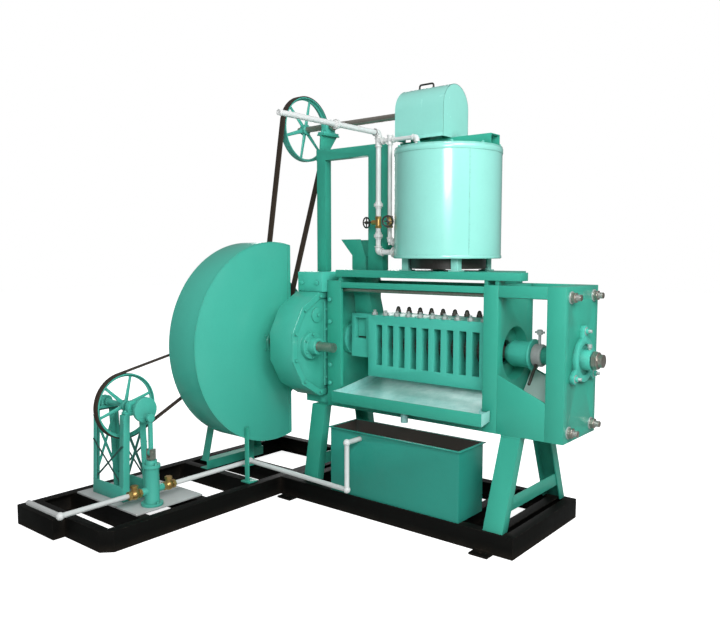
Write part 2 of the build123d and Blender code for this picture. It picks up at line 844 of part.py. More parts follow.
def gear_cover():
    x0 = gear_case_x
    x1 = cover_front_x
    wall = gear_case_wall
    cover = prism_x(cover_outline(cover_radius), x0, x1)
    cover -= prism_x(cover_outline(cover_radius - wall), x0 + wall, x1 - wall)
    far = gear_case_back_y
    cover -= block(x0, x1, gear_case_front_y - cover_fit, far, frame_bottom, gear_case_top)
    cover += bar_x(x1, x1 + cover_boss_length * 0.35, drive_y, drive_z, cover_boss_radius)
    cover += bar_x(x1, x1 + cover_boss_length, drive_y, drive_z, cover_boss_radius * 0.62)
    cover += bar_x(x0 - 20, x0, drive_y, drive_z, cover_boss_radius)
    bore = drive_shaft_radius + running_clearance
    return cover - bar_x(x0 - 20, x1 + cover_boss_length, drive_y, drive_z, bore)


def housing_bolts():
    bolts = []
    for rise in frame_bolt_rises:
        x = feed_frame_x + frame_web
        y = -frame_half_width
        bolts.append(hexagon_y(y - 14, y, x, frame_bottom + rise, frame_bolt_radius))
    for inset in (45, gear_case_depth - 45):
        y = gear_case_corner_y
        z = gear_case_top - 76
        bolts.append(hexagon_y(y - 12, y, gear_case_x + inset, z, frame_bolt_radius))
    for y in (-skid_half / 2, skid_half / 2):
        z = skid_height / 2
        x0 = skid_joint_x - channel_web
        x1 = skid_joint_x + channel_web
        bolt = bar_x(x0 - 20, x1 + 20, y, z, joint_bolt_radius)
        bolt += hexagon_x(x0 - 16, x0, y, z, joint_bolt_radius * 1.8)
        bolt += hexagon_x(x1, x1 + 16, y, z, joint_bolt_radius * 1.8)
        bolts.append(bolt)
    return group(bolts)


def skid_bolt_holes(frame):
    for y in (-skid_half / 2, skid_half / 2):
        hole_x0 = skid_joint_x - 2 * channel_web
        hole_x1 = skid_joint_x + 2 * channel_web
        frame -= bar_x(hole_x0, hole_x1, y, skid_height / 2, joint_bolt_radius + 0.5)
    return frame


def drive_shaft():
    shaft = bar_x(drive_shaft_back, drive_shaft_step, drive_y, drive_z, drive_shaft_radius)
    shaft += bar_x(drive_shaft_step, drive_shaft_front, drive_y, drive_z, drive_shaft_end_radius)
    top = drive_z + drive_shaft_end_radius
    x0 = drive_shaft_front - drive_keyway_length
    return shaft - block(x0, drive_shaft_front, drive_y - 6, drive_y + 6, top - 7, top + 1)


def spoked_pulley(x, y, z, radius, face, bore, hub_radius, spokes):
    rim = bar_x(x - face / 2, x + face / 2, y, z, radius)
    rim -= bar_x(x - face / 2, x + face / 2, y, z, radius - rim_thickness)
    hub = bar_x(x - face * 0.45, x + face * 0.45, y, z, hub_radius)
    pulley = rim + hub
    arm_length = radius - rim_thickness / 2
    for i in range(spokes):
        turn = 2 * pi * i / spokes + 0.3
        c = cos(turn)
        s = sin(turn)
        arm = []
        for reach, half in ((0, hub_radius * 0.42), (arm_length, hub_radius * 0.26)):
            arm.append((y + reach * c - half * s, z + reach * s + half * c))
        for reach, half in ((arm_length, hub_radius * 0.26), (0, hub_radius * 0.42)):
            arm.append((y + reach * c + half * s, z + reach * s - half * c))
        pulley += prism_x(arm, x - face * 0.14, x + face * 0.14)
    return pulley - bar_x(x - face / 2, x + face / 2, y, z, bore)


def plain_pulley(x, y, z, radius, face, bore):
    pulley = bar_x(x - face / 2, x + face / 2, y, z, radius)
    for side in (-1, 1):
        recess = bar_x(x, x + face / 4, y, z, radius - 2 * rim_thickness)
        recess -= bar_x(x, x + face / 4, y, z, bore + 18)
        pulley -= Pos(side * face / 4 + (0 if side > 0 else -face / 4), 0, 0) * recess
    return pulley - bar_x(x - face / 2, x + face / 2, y, z, bore)


def belt_loop(x, width, first, second):
    shapes = []
    for extra in (belt_seat + belt_thickness, belt_seat):
        y1, z1, r1 = first[0], first[1], first[2] + extra
        y2, z2, r2 = second[0], second[1], second[2] + extra
        distance = hypot(y2 - y1, z2 - z1)
        line = atan2(z2 - z1, y2 - y1)
        lean = acos((r1 - r2) / distance)
        corners = [
            (y1 + r1 * cos(line + lean), z1 + r1 * sin(line + lean)),
            (y2 + r2 * cos(line + lean), z2 + r2 * sin(line + lean)),
            (y2 + r2 * cos(line - lean), z2 + r2 * sin(line - lean)),
            (y1 + r1 * cos(line - lean), z1 + r1 * sin(line - lean)),
        ]
        loop = make_face(Polyline(*corners, close=True))
        loop += Pos(y1, z1) * Circle(r1)
        loop += Pos(y2, z2) * Circle(r2)
        shapes.append(extrude(Plane.YZ.offset(x - width / 2) * loop, width))
    return shapes[0] - shapes[1]


def belt_guard():
    x0 = guard_back_x
    x1 = guard_face_x
    guard = bar_x(x0, x1, drive_y, drive_z, guard_radius)
    guard -= bar_x(x0, x1 - guard_sheet, drive_y, drive_z, guard_radius - guard_sheet)
    flange = bar_x(x0, x0 + guard_sheet, drive_y, drive_z, guard_radius)
    flange -= bar_x(x0, x0 + guard_sheet, drive_y, drive_z, guard_radius - 45)
    guard += flange
    far = drive_y + guard_radius
    guard -= block(x0, x1, guard_cut_y, far, drive_z - guard_radius, drive_z + guard_radius)
    guard -= bar_x(x0, x1, drive_y, drive_z, guard_shaft_hole)
    slot_half = kettle_belt_width / 2 + guard_slot_margin
    reach = kettle_drive_radius + 2 * belt_thickness
    slot_y = drive_y + 0.16 * guard_radius - reach
    guard -= block(
        kettle_belt_x - slot_half,
        min(kettle_belt_x + slot_half, x1 - guard_sheet),
        slot_y - 2 * guard_slot_margin,
        slot_y + 3 * guard_slot_margin,
        drive_z + guard_radius * 0.9,
        drive_z + guard_radius,
    )
    return guard


# Legs under the guard, its stays to the gear case and the stand of the outboard bearing
def guard_supports():
    x1 = guard_face_x
    leg_y = guard_front_leg_y
    drop = sqrt(guard_radius**2 - (leg_y - drive_y) ** 2)
    z_rim = drive_z - drop
    size = guard_leg_size
    front = block(x1, x1 + size, leg_y, leg_y + 5, skid_height + 10, z_rim + 70)
    front += block(x1, x1 + 5, leg_y, leg_y + size, skid_height + 10, z_rim + 70)
    front += block(x1 - 20, x1 + size + 25, leg_y - 20, leg_y + size + 20, skid_height, skid_height + 10)
    low = drive_z - guard_radius
    back = block(guard_back_x - 5, guard_back_x, drive_y - 40, drive_y + 40, skid_height + 10, low + 40)
    back += block(guard_back_x - size, guard_back_x, drive_y - 3, drive_y + 3, skid_height + 10, low + 40)
    back += block(guard_back_x - size - 20, guard_back_x + 20, drive_y - 60, drive_y + 60, skid_height, skid_height + 10)
    return group([front, back, outboard_stand()])


def outboard_stand():
    half = 40.0
    x0 = outboard_x - half
    x1 = outboard_x + half
    spread = outboard_foot_spread
    z0 = skid_height
    z1 = z0 + outboard_channel_height
    top = drive_z - 60
    stand = block(x0, x1, drive_y - spread, drive_y + spread, z0, z0 + 6)
    stand += block(x0, x1, drive_y - spread, drive_y + spread, z1 - 6, z1)
    stand += block(x1 - 6, x1, drive_y - spread, drive_y + spread, z0, z1)
    thick = outboard_leg_size
    for side in (-1, 1):
        foot = side * (spread - 10)
        head = side * 70
        leg = [
            (drive_y + foot, z1),
            (drive_y + foot - side * thick, z1),
            (drive_y + head - side * thick, top - 12),
            (drive_y + head, top - 12),
        ]
        stand += prism_x(leg, x0 + 5, x0 + 11)
        edge = [leg[0], (leg[0][0] - side * 8, z1), (leg[3][0] - side * 8, top - 12), leg[3]]
        stand += prism_x(edge, x0 + 5, x1 - 5)
    stand += block(x0, x1, drive_y - 110, drive_y + 110, top - 12, top)
    tie_z = (z1 + top) / 2
    stand += block(x0 + 5, x0 + 11, drive_y - 130, drive_y + 130, tie_z, tie_z + 40)
    return stand


# A bearing block on a flat seat, its shaft along X
def plummer_block(x, y, z, bore, seat_z, width, half_length):
    radius = bore + 24
    base = block(x - width / 2, x + width / 2, y - half_length, y + half_length, seat_z, seat_z + 16)
    body = bar_x(x - width / 2 + 4, x + width / 2 - 4, y, z, radius)
    body += block(x - width / 2 + 4, x + width / 2 - 4, y - radius, y + radius, seat_z, z)
    for side in (-1, 1):
        base += hexagon_z(seat_z + 16, seat_z + 26, x, y + side * (half_length - 14), 10)
    return base + body - bar_x(x - width, x + width, y, z, bore + running_clearance)


def mast_bearing_x():
    return mast_left_x + mast_bearing_shift


def plummer_blocks():
    bar_top = line_shaft_z - mast_bar_drop
    blocks = []
    blocks.append(plummer_block(mast_bearing_x(), 0, line_shaft_z, line_shaft_radius, line_shaft_z - 62, 60, 80))
    blocks.append(plummer_block(box_guard_start + 110, 0, line_shaft_z, line_shaft_radius, line_shaft_z - 62, 60, 80))
    blocks.append(plummer_block(outboard_x, drive_y, drive_z, drive_shaft_radius, drive_z - 60, 70, 100))
    seat = pump_shaft_height - stand_top_drop
    for x in (stand_x0 + stand_angle / 2, stand_x1 - stand_angle / 2):
        blocks.append(plummer_block(x, pump_y, pump_shaft_height, pump_shaft_radius, seat, 44, 66))
    return group(blocks)


def mast_portal():
    bar_top = line_shaft_z - mast_bar_drop
    y0 = mast_y - mast_depth / 2
    y1 = mast_y + mast_depth / 2
    wall = 6.0
    portal = block(mast_left_x, mast_left_x + mast_left_width, y0, y1, gear_case_top, bar_top)
    portal -= block(mast_left_x + wall, mast_left_x + mast_left_width - wall, y0 + wall, y1, gear_case_top, bar_top - wall)
    right = block(mast_right_x, mast_right_x + mast_right_width, y0, y1, deck_top, bar_top)
    right -= block(mast_right_x + wall, mast_right_x + mast_right_width - wall, y0 + wall, y1, deck_top, bar_top - wall)
    portal += right
    bar = block(mast_left_x - mast_bar_overhang, mast_right_x + mast_right_width, y0, y1, bar_top - mast_bar_height, bar_top)
    bar -= block(mast_left_x - mast_bar_overhang, mast_right_x + mast_right_width, y0 + wall, y1, bar_top - mast_bar_height + wall, bar_top - wall)
    portal += bar
    seat = line_shaft_z - 62
    x = mast_bearing_x()
    portal += block(x - 34, x + 34, -84, 84, seat - 10, seat)
    web = [(y0, bar_top), (y1 + 30, bar_top), (84, seat - 10), (-84, seat - 10)]
    portal += prism_x(web, x - 6, x + 6)
    portal += block(x - 34, x + 34, y0, y1 + 30, bar_top, bar_top + 8)
    return portal


def deck_frame():
    y = deck_half_width
    wall = deck_sheet
    strip_y = -y + deck_front_strip
    under = deck_top - deck_sheet
    deck = block(deck_start, deck_rear_end, -y, y, deck_bottom, deck_top)
    deck += block(deck_start, deck_end, -y, strip_y, deck_bottom, deck_top)
    deck -= block(deck_start + wall, deck_rear_end - wall, -y + wall, y - wall, deck_bottom, under)
    deck -= block(deck_start + wall, deck_end - wall, -y + wall, strip_y - wall, deck_bottom, under)
    for x in (feed_frame_end - frame_wall, cage_end):
        deck += block(x, x + frame_wall, -y + wall, y - wall, frame_top, under)
    x = chamber_end - frame_wall
    deck += block(x, x + frame_wall, -y + wall, strip_y - wall, frame_top, under)
    neck = hopper_neck_half + sheet + 1
    deck -= block(hopper_neck_x0 - sheet - 1, hopper_neck_x1 + sheet + 1, -neck, neck, frame_top, deck_top)
    return deck


def rectangle_loft(x0, x1, half, z0, x2, x3, half_top, z1):
    low = Plane.XY.offset(z0) * (Pos((x0 + x1) / 2, 0) * Rectangle(x1 - x0, 2 * half))
    high = Plane.XY.offset(z1) * (Pos((x2 + x3) / 2, 0) * Rectangle(x3 - x2, 2 * half_top))
    return loft([low.face(), high.face()], ruled=True)


def hopper_edge():
    return kettle_bottom + 12


def hopper():
    x0 = hopper_neck_x0
    x1 = hopper_neck_x1
    half = hopper_neck_half
    z0 = worm_z + cage_top_rise
    z1 = deck_top + hopper_neck_height
    z2 = z1 + hopper_flare_height
    chute_x0 = feed_frame_end + sheet
    chute_x1 = cage_start - 30
    flare = hopper_flare
    z_bend = deck_bottom
    parts = []
    for grow in (sheet, 0):
        low = rectangle_loft(chute_x0 - grow, chute_x1 + grow, half + grow, z0, x0 - grow, x1 + grow, half + grow, z_bend)
        neck = block(x0 - grow, x1 + grow, -half - grow, half + grow, z_bend, z1)
        top = rectangle_loft(x0 - grow, x1 + grow, half + grow, z1, x0 - flare - grow, x1 + grow, half + flare + grow, z2)
        parts.append(low + neck + top)
    chute = parts[0] - parts[1]
    reach = half + flare + sheet
    return chute - block(x1 - 0.5, x1 + sheet + 1, -reach, reach, hopper_edge(), z2)


def kettle_outlet_x():
    return kettle_x - kettle_radius - 12


def kettle_shell():
    shell = bar_z(kettle_bottom, kettle_top, kettle_x, 0, kettle_radius)
    shell -= bar_z(kettle_bottom + kettle_wall, kettle_top, kettle_x, 0, kettle_radius - kettle_wall)
    x0 = kettle_outlet_x()
    x1 = kettle_x - pan_radius
    low = pan_floor - 10
    high = pan_floor + gate_height + 10
    flange = gate_width / 2 + gate_margin + gate_guide
    neck = gate_width / 2 + 6
    outlet = block(x0, x0 + 8, outlet_y - flange, outlet_y + flange, low, high)
    outlet += block(x0, x1 + 30, outlet_y - neck, outlet_y + neck, low, high)
    outlet -= bar_z(kettle_bottom, kettle_top, kettle_x, 0, pan_radius + 0.2)
    shell += outlet
    mouth = gate_width / 2
    shell -= block(x0, x1 + 30, outlet_y - mouth, outlet_y + mouth, pan_floor, pan_floor + gate_height)
    size = kettle_leg_size
    for i in range(4):
        turn = pi / 4 + i * pi / 2
        x = kettle_x + kettle_leg_circle * cos(turn)
        y = kettle_leg_circle * sin(turn)
        shell += block(x - size / 2, x + size / 2, y - size / 2, y + size / 2, deck_top, kettle_bottom)
    skirt = bar_z(deck_top + skirt_lift, kettle_bottom, kettle_x, 0, skirt_radius)
    skirt -= bar_z(deck_top + skirt_lift, kettle_bottom, kettle_x, 0, skirt_radius - kettle_wall)
    return shell + skirt


def kettle_pan():
    pan = bar_z(pan_floor - kettle_wall, kettle_top, kettle_x, 0, pan_radius)
    pan -= bar_z(pan_floor, kettle_top, kettle_x, 0, pan_radius - kettle_wall)
    rim = bar_z(kettle_top - kettle_wall, kettle_top, kettle_x, 0, kettle_radius - kettle_wall - cover_fit)
    rim -= bar_z(kettle_top - kettle_wall, kettle_top, kettle_x, 0, pan_radius - kettle_wall)
    pan += rim
    mouth = gate_width / 2
    x0 = kettle_x - kettle_radius
    pan -= block(x0, x0 + 100, outlet_y - mouth, outlet_y + mouth, pan_floor, pan_floor + gate_height)
    foot = bar_z(kettle_bottom + kettle_wall, pan_floor - kettle_wall, kettle_x, 0, 60)
    pan += foot
    return pan - bar_z(kettle_bottom, pan_floor, kettle_x, 0, stirrer_radius + running_clearance)


def kettle_lid():
    lid = bar_z(kettle_top, lid_top, kettle_x, 0, kettle_radius)
    x0 = kettle_x - charge_opening_width / 2
    y0 = kettle_radius * 0.45
    lid -= block(x0, x0 + charge_opening_width, y0, y0 + charge_opening_depth, kettle_top, lid_top)
    return lid - bar_z(kettle_top, lid_top, kettle_x, 0, lid_hole_radius)


# Channel beam across the lid, with the pedestals of the line shaft and the stirrer shaft
def lid_beam():
    x0 = kettle_x - kettle_radius + 4
    x1 = kettle_x + kettle_radius - 4
    beam = block(x0, x1, -beam_half_width, beam_half_width, lid_top, beam_top)
    beam -= block(x0, x1, -beam_half_width + 6, beam_half_width - 6, lid_top, beam_top - 6)
    seat = line_shaft_z - 62
    x = box_guard_start + 110
    beam += block(x - 34, x + 34, -84, 84, seat - 10, seat)
    beam += prism_x([(-beam_half_width, beam_top), (beam_half_width, beam_top), (80, seat - 10), (-80, seat - 10)], x - 25, x + 25)
    head = line_shaft_z - bevel_radius - bevel_module * 2 - 16
    beam += bar_z(beam_top, head, kettle_x, 0, 40)
    for i in range(4):
        turn = i * pi / 2
        leg_x = kettle_x + 28 * cos(turn)
        leg_y = 28 * sin(turn)
        beam += block(leg_x - 6, leg_x + 6, leg_y - 6, leg_y + 6, lid_top, beam_top)
    return beam - bar_z(lid_top, head, kettle_x, 0, stirrer_radius + running_clearance)


def line_shaft():
    end = kettle_x - bevel_radius + bevel_face * 0.7
    shaft = bar_x(line_shaft_start, end, 0, line_shaft_z, line_shaft_radius)
    for x in (mast_bearing_x() + 40, box_guard_start + 110 + 40):
        shaft += bar_x(x, x + 16, 0, line_shaft_z, line_shaft_radius + 10)
    return shaft


# Straight bevel gear with its apex at the origin and its axis along Z, teeth narrowing upwards
def bevel_body(first):
    faces = []
    for height, scale in ((-bevel_radius, 1.0), (-bevel_radius + bevel_face * 0.7, 1 - bevel_face * 0.7 / bevel_radius)):
        points = []
        step = 2 * pi / bevel_teeth
        outer = (bevel_radius + 0.55 * bevel_module) * scale
        inner = (bevel_radius - 0.75 * bevel_module) * scale
        for i in range(bevel_teeth):
            middle = first + step * i
            for radius, half in ((inner, 0.30), (outer, 0.13)):
                points.append((radius * cos(middle - half * step), radius * sin(middle - half * step)))
            for radius, half in ((outer, 0.13), (inner, 0.30)):
                points.append((radius * cos(middle + half * step), radius * sin(middle + half * step)))
        faces.append(Plane.XY.offset(height) * make_face(Polyline(*points, close=True)))
    return loft([faces[0].face(), faces[1].face()], ruled=True)


def bevel_wheel():
    wheel = bevel_body(0.0)
    wheel += bar_z(-bevel_radius - 14, -bevel_radius, 0, 0, bevel_radius * 0.7)
    wheel -= bar_z(-bevel_radius - 14, 0, 0, 0, stirrer_radius)
    return Pos(kettle_x, 0, line_shaft_z) * wheel


def bevel_pinion():
    wheel = bevel_body(pi / bevel_teeth)
    wheel += bar_z(-bevel_radius - 14, -bevel_radius, 0, 0, bevel_radius * 0.75)
    wheel -= bar_z(-bevel_radius - 14, 0, 0, 0, line_shaft_radius)
    return Pos(kettle_x, 0, line_shaft_z) * Rotation(0, 90, 0) * wheel


def stirrer():
    top = line_shaft_z - bevel_radius + bevel_face * 0.6
    shape = bar_z(pan_floor - sheet, top, kettle_x, 0, stirrer_radius)
    reach = pan_radius - kettle_wall - 14
    z = pan_floor + 12
    shape += bar_z(z, z + 90, kettle_x, 0, stirrer_radius + 18)
    for side in (-1, 1):
        arm = [(0, -9), (reach, -5), (reach, 5), (0, 9)]
        blade = prism_z(arm, z, z + stirrer_arm_height)
        sweep_bar = prism_z(arm, z + 300, z + 325)
        turned = Rotation(0, 0, 90 + 90 * side) * (blade + sweep_bar)
        shape += Pos(kettle_x, 0, 0) * turned
    shape += bar_z(z + 285, z + 340, kettle_x, 0, stirrer_radius + 12)
    return shape


# Cover over the bevel gears: flat sides, arched top, closed ends and a lifting handle
def box_guard():
    x0 = box_guard_start
    x1 = x0 + box_guard_length
    w = box_guard_half_width
    t = box_guard_sheet
    z0 = beam_top
    z1 = line_shaft_z
    outer = block(x0, x1, -w, w, z0, z1) + bar_x(x0, x1, 0, z1, w)
    inner = block(x0 + t, x1 - t, -w + t, w - t, z0, z1) + bar_x(x0 + t, x1 - t, 0, z1, w - t)
    cover = outer - inner
    slot = line_shaft_radius + 8
    cover -= block(x0, x0 + t, -slot, slot, z0, z1) + bar_x(x0, x0 + t, 0, z1, slot)
    middle = (x0 + x1) / 2 - 40
    top = z1 + w
    handle = bar_x(middle - 60, middle + 60, 0, top + 30, 6)
    for x in (middle - 54, middle + 54):
        handle += bar_z(top - 2, top + 30, x, 0, 6)
    return cover + handle


# Chute from the kettle to the hopper; its upper end carries the guides of the gate
def kettle_chute():
    face = kettle_outlet_x()
    front = face - gate_thickness - 1
    x1 = front - 6
    x0 = hopper_neck_x1 + sheet + 2
    inner = gate_width / 2
    outer = inner + gate_margin + gate_guide
    low = pan_floor - 10
    high = pan_floor + gate_height + 10
    chute = block(x1, front, outlet_y - outer, outlet_y + outer, low, high)
    chute -= block(x1, front, outlet_y - inner, outlet_y + inner, pan_floor, high)
    for side in (-1, 1):
        y0, y1 = sorted((outlet_y + side * (outer - gate_guide + 0.5), outlet_y + side * outer))
        chute += block(front, face, y0, y1, low, high)
    slope = (pan_floor - hopper_edge() - sheet - belt_seat) / (x1 - hopper_neck_x1)
    z0 = pan_floor - slope * (x1 - x0)
    floor = [(x0, z0), (x1, pan_floor), (x1, pan_floor - sheet), (x0, z0 - sheet)]
    side = [(x0, z0 - 1), (x1, pan_floor - 1), (x1, pan_floor + 50), (x0, z0 + 50)]
    wide = inner + sheet
    chute += prism_y(floor, outlet_y - wide, outlet_y + wide)
    chute += prism_y(side, outlet_y + inner, outlet_y + wide)
    chute += prism_y(side, outlet_y - wide, outlet_y - inner)
    tongue = [(x0 - 16, z0 - 16 * slope), (x0, z0), (x0, z0 - sheet), (x0 - 16, z0 - 16 * slope - sheet)]
    return chute + prism_y(tongue, outlet_y - inner + sheet, hopper_neck_half - 2)


def gate():
    x1 = kettle_outlet_x() - 0.5
    x0 = x1 - gate_thickness
    half = gate_width / 2 + gate_margin
    plate = block(x0, x1, outlet_y - half, outlet_y + half, pan_floor + 1, pan_floor + gate_height + 14)
    top = pan_floor + gate_height + 14
    return plate + block(x0 - 36, x1, outlet_y - 8, outlet_y + 8, top, top + 10)


# Sloping drip tray with a gutter and a spout, standing on feet on the lower side rails
def oil_tray():
    t = tray_sheet
    edge = frame_bottom + tray_front_rise
    back = frame_bottom + tray_back_rise
    front = edge - tray_gutter_fall
    slope = (back - edge) / (tray_back_y - tray_gutter_back_y)
    main = [
        (tray_gutter_back_y, edge),
        (tray_back_y, back),
        (tray_back_y, back - t),
        (tray_gutter_back_y, edge - t),
    ]
    gutter = [
        (tray_front_y, front),
        (tray_gutter_back_y, edge),
        (tray_gutter_back_y, edge - t),
        (tray_front_y, front - t),
    ]
    tray = prism_x(main, tray_start, tray_end)
    tray += prism_x(gutter, tray_start, tray_gutter_end)
    lip_bottom = front - t
    lip_top = front + tray_lip
    tray += block(tray_start, tray_gutter_end, tray_front_y - t, tray_front_y, lip_bottom, lip_top)
    tray += block(tray_start, tray_end, tray_back_y, tray_back_y + t, back - t, back + 40)
    end = [
        (tray_front_y, front - t),
        (tray_gutter_back_y, edge - t),
        (tray_gutter_back_y, edge + tray_lip - 12),
        (tray_front_y, lip_top),
    ]
    side = [
        (tray_gutter_back_y, edge - t),
        (tray_back_y, back - t),
        (tray_back_y, back + 40),
        (tray_gutter_back_y, edge + tray_lip - 12),
    ]
    for x0 in (tray_start, tray_gutter_end - t):
        tray += prism_x(end, x0, x0 + t)
    for x0 in (tray_start, tray_end - t):
        tray += prism_x(side, x0, x0 + t)
    tray += block(tray_end - t, tray_gutter_end, tray_gutter_back_y - t, tray_gutter_back_y, edge - t, edge + 50)
    rail_top = frame_bottom + bottom_rail_height
    rail_middle = frame_half_width - rail_width / 2
    for y in (-rail_middle, rail_middle - tray_foot):
        y0 = y - tray_foot / 2
        y1 = y + tray_foot / 2
        under0 = edge - t / 2 + slope * (y0 - tray_gutter_back_y)
        under1 = edge - t / 2 + slope * (y1 - tray_gutter_back_y)
        foot = [(y0, rail_top), (y1, rail_top), (y1, under1), (y0, under0)]
        for x in (tray_start + 60, (tray_start + tray_end) / 2 + 150, tray_end - 60):
            tray += prism_x(foot, x - tray_foot, x + tray_foot)
    spout_x = tank_start + tank_length / 2
    spout_y = (tray_front_y + tray_gutter_back_y) / 2
    spout_top = (front + edge) / 2 - t / 2
    tray += bar_z(front - 70, spout_top, spout_x, spout_y, 24)
    return tray - bar_z(front - 70, edge, spout_x, spout_y, 20)


def oil_tank():
    x0 = tank_start
    x1 = tank_start + tank_length
    z0 = skid_height
    z1 = z0 + tank_height
    t = tank_sheet
    tank = block(x0, x1, tank_front_y, tank_back_y, z0, z1)
    tank -= block(x0 + t, x1 - t, tank_front_y + t, tank_back_y - t, z0 + t, z1)
    rim = block(x0 - tank_rim, x1 + tank_rim, tank_front_y - tank_rim, tank_back_y + tank_rim, z1 - 5, z1)
    rim -= block(x0 + t, x1 - t, tank_front_y + t, tank_back_y - t, z1 - 5, z1)
    tank += rim
    port_z = z1 - 45
    tank -= bar_y(tank_front_y - 1, tank_front_y + t + 1, suction_riser_x, port_z, pipe_radius + 0.5)
    return tank


# Pump stand: four tapered angle legs, top beams, toe plates and crossed braces
def pump_stand():
    z0 = plate_top
    z1 = pump_shaft_height - stand_top_drop
    a = stand_angle
    t = 5.0
    x0, x1 = stand_x0, stand_x1
    y0, y1 = pump_y - stand_half_depth, pump_y + stand_half_depth
    stand = None
    for sx, sy in ((-1, -1), (-1, 1), (1, -1), (1, 1)):
        faces = []
        for z, shrink in ((z0, 0.0), (z1, stand_taper)):
            x = x0 if sx < 0 else x1
            y = y0 + shrink if sy < 0 else y1 - shrink
            points = [(x, y), (x - sx * a, y), (x - sx * a, y - sy * t), (x - sx * t, y - sy * t), (x - sx * t, y - sy * a), (x, y - sy * a)]
            faces.append((Plane.XY.offset(z) * make_face(Polyline(*points, close=True))).face())
        leg = loft(faces, ruled=True)
        stand = leg if stand is None else stand + leg
    inner0 = y0 + stand_taper
    inner1 = y1 - stand_taper
    for xa, xb in ((x0, x0 + a), (x1 - a, x1)):
        stand += block(xa, xb, inner0, inner1, z1 - 10, z1)
        stand += block(xa, xb, inner0, inner1, z0, z0 + 8)
    toe = 95.0
    for ya, yb in ((y0, y0 + t + 3), (y1 - t - 3, y1)):
        stand += block(x0 + t, x1 - t, ya, yb, z0, z0 + toe)
    low = z0 + toe - 4
    high = pump_shaft_height - pump_pulley_radius - 30
    lean = stand_taper * (low - z0) / (z1 - z0)
    for ya in (y0 + lean + 4, y1 - lean - 9):
        for flip in (False, True):
            xa, xb = (x0 + 8, x1 - 8) if flip else (x1 - 8, x0 + 8)
            brace = [(xa - 9, low), (xa + 9, low), (xb + 9, high), (xb - 9, high)]
            stand += prism_y(brace, ya, ya + 5)
    for xa in (x0 + 1, x1 - 6):
        for flip in (False, True):
            ya, yb = (y0 + 14, y1 - 24) if flip else (y1 - 14, y0 + 24)
            brace = [(ya - 9, low), (ya + 9, low), (yb + 9, z1 - 40), (yb - 9, z1 - 40)]
            stand += prism_x(brace, xa, xa + 5)
    return stand


def pump_base_plates():
    first = block(stand_x0 - 80, stand_x1 + 20, plate_y0, plate_y1, skid_height, plate_top)
    second = block(stand_x1 + 25, skid_joint_x - channel_flange - 39, plate_y0, plate_y1, skid_height, plate_top)
    return group([first, second])


def pump_crankshaft():
    shaft = bar_x(stand_x0 - 30, crank_disc_back + 1, pump_y, pump_shaft_height, pump_shaft_radius)
    x1 = crank_disc_back + crank_disc_thickness
    shaft += bar_x(crank_disc_back, x1, pump_y, pump_shaft_height, crank_disc_radius)
    shaft += bar_x(x1 - 1, x1 + crank_pin_length, pump_y, crank_pin_z, crank_pin_radius)
    for x in (stand_x0 + stand_angle + 4, stand_x1 - stand_angle - 16):
        shaft += bar_x(x, x + 12, pump_y, pump_shaft_height, pump_shaft_radius + 9)
    return shaft


def connecting_rod():
    x0 = conrod_x
    x1 = x0 + conrod_thickness
    rod = bar_x(x0, x1, pump_y, crank_pin_z, conrod_eye)
    rod += bar_x(x0, x1, pump_y, crosshead_z, conrod_eye * 0.8)
    rod += block(x0 + 5, x1 - 5, pump_y - 13, pump_y + 13, crosshead_z, crank_pin_z)
    return rod - bar_x(x0, x1, pump_y, crosshead_z, crosshead_pin_radius + running_clearance)


# Plunger with its forked crosshead and pin
def plunger():
    bottom = plate_top + pump_port_height + 20
    fork_top = crosshead_z + 26
    fork_low = crosshead_z - conrod_eye * 0.8 - 8
    rod = bar_z(bottom, fork_low - 12, pump_x, pump_y, plunger_radius)
    half = conrod_thickness / 2 + 1.5
    rod += block(pump_x - half - 8, pump_x + half + 8, pump_y - 20, pump_y + 20, fork_low - 12, fork_low)
    for side in (-1, 1):
        a, b = sorted((side * half, side * (half + 8)))
        rod += block(pump_x + a, pump_x + b, pump_y - 20, pump_y + 20, fork_low, fork_top)
    rod += bar_x(pump_x - half - 10, pump_x + half + 10, pump_y, crosshead_z, crosshead_pin_radius)
    return rod


def pump_cylinder():
    z0 = plate_top
    z1 = z0 + cylinder_height
    body = bar_z(z0, z1, pump_x, pump_y, cylinder_radius)
    body += bar_z(z0, z0 + 16, pump_x, pump_y, cylinder_radius + 22)
    body += bar_z(z1 - 20, z1, pump_x, pump_y, cylinder_radius + 9)
    body += bar_z(z1, z1 + gland_height, pump_x, pump_y, gland_radius)
    for side in (-1, 1):
        a, b = sorted((side * cylinder_radius * 0.7, side * (cylinder_radius + 34)))
        body += bar_y(pump_y + a, pump_y + b, pump_x, z0 + pump_port_height, 24)
        body += hexagon_z(z1 - 1, z1 + 12, pump_x + side * (cylinder_radius - 0.5), pump_y, 8)
        body += hexagon_z(z0 + 15, z0 + 28, pump_x + side * (cylinder_radius + 10), pump_y, 8)
    body -= bar_z(z0 + pump_port_height - 20, z1 + gland_height, pump_x, pump_y, plunger_radius + running_clearance)
    return body - bar_y(pump_y - cylinder_radius - 40, pump_y + cylinder_radius + 40, pump_x, z0 + pump_port_height, pipe_radius - pipe_wall)


# A pipe run through points, with a ball elbow at each turn
def pipe_run(points, radius):
    pipe = None
    for a, b in zip(points, points[1:]):
        line = Vector(*b) - Vector(*a)
        piece = Plane(origin=a, z_dir=line.normalized()) * Cylinder(radius, line.length, align=(Align.CENTER, Align.CENTER, Align.MIN))
        pipe = piece if pipe is None else pipe + piece
    for p in points[1:-1]:
        pipe += Pos(*p) * Rotation(25, 35, 0) * Sphere(radius * 1.45)
    return pipe


def pump_ports():
    z = plate_top + pump_port_height
    reach = cylinder_radius + 34
    return (pump_y - reach, pump_y + reach, z)


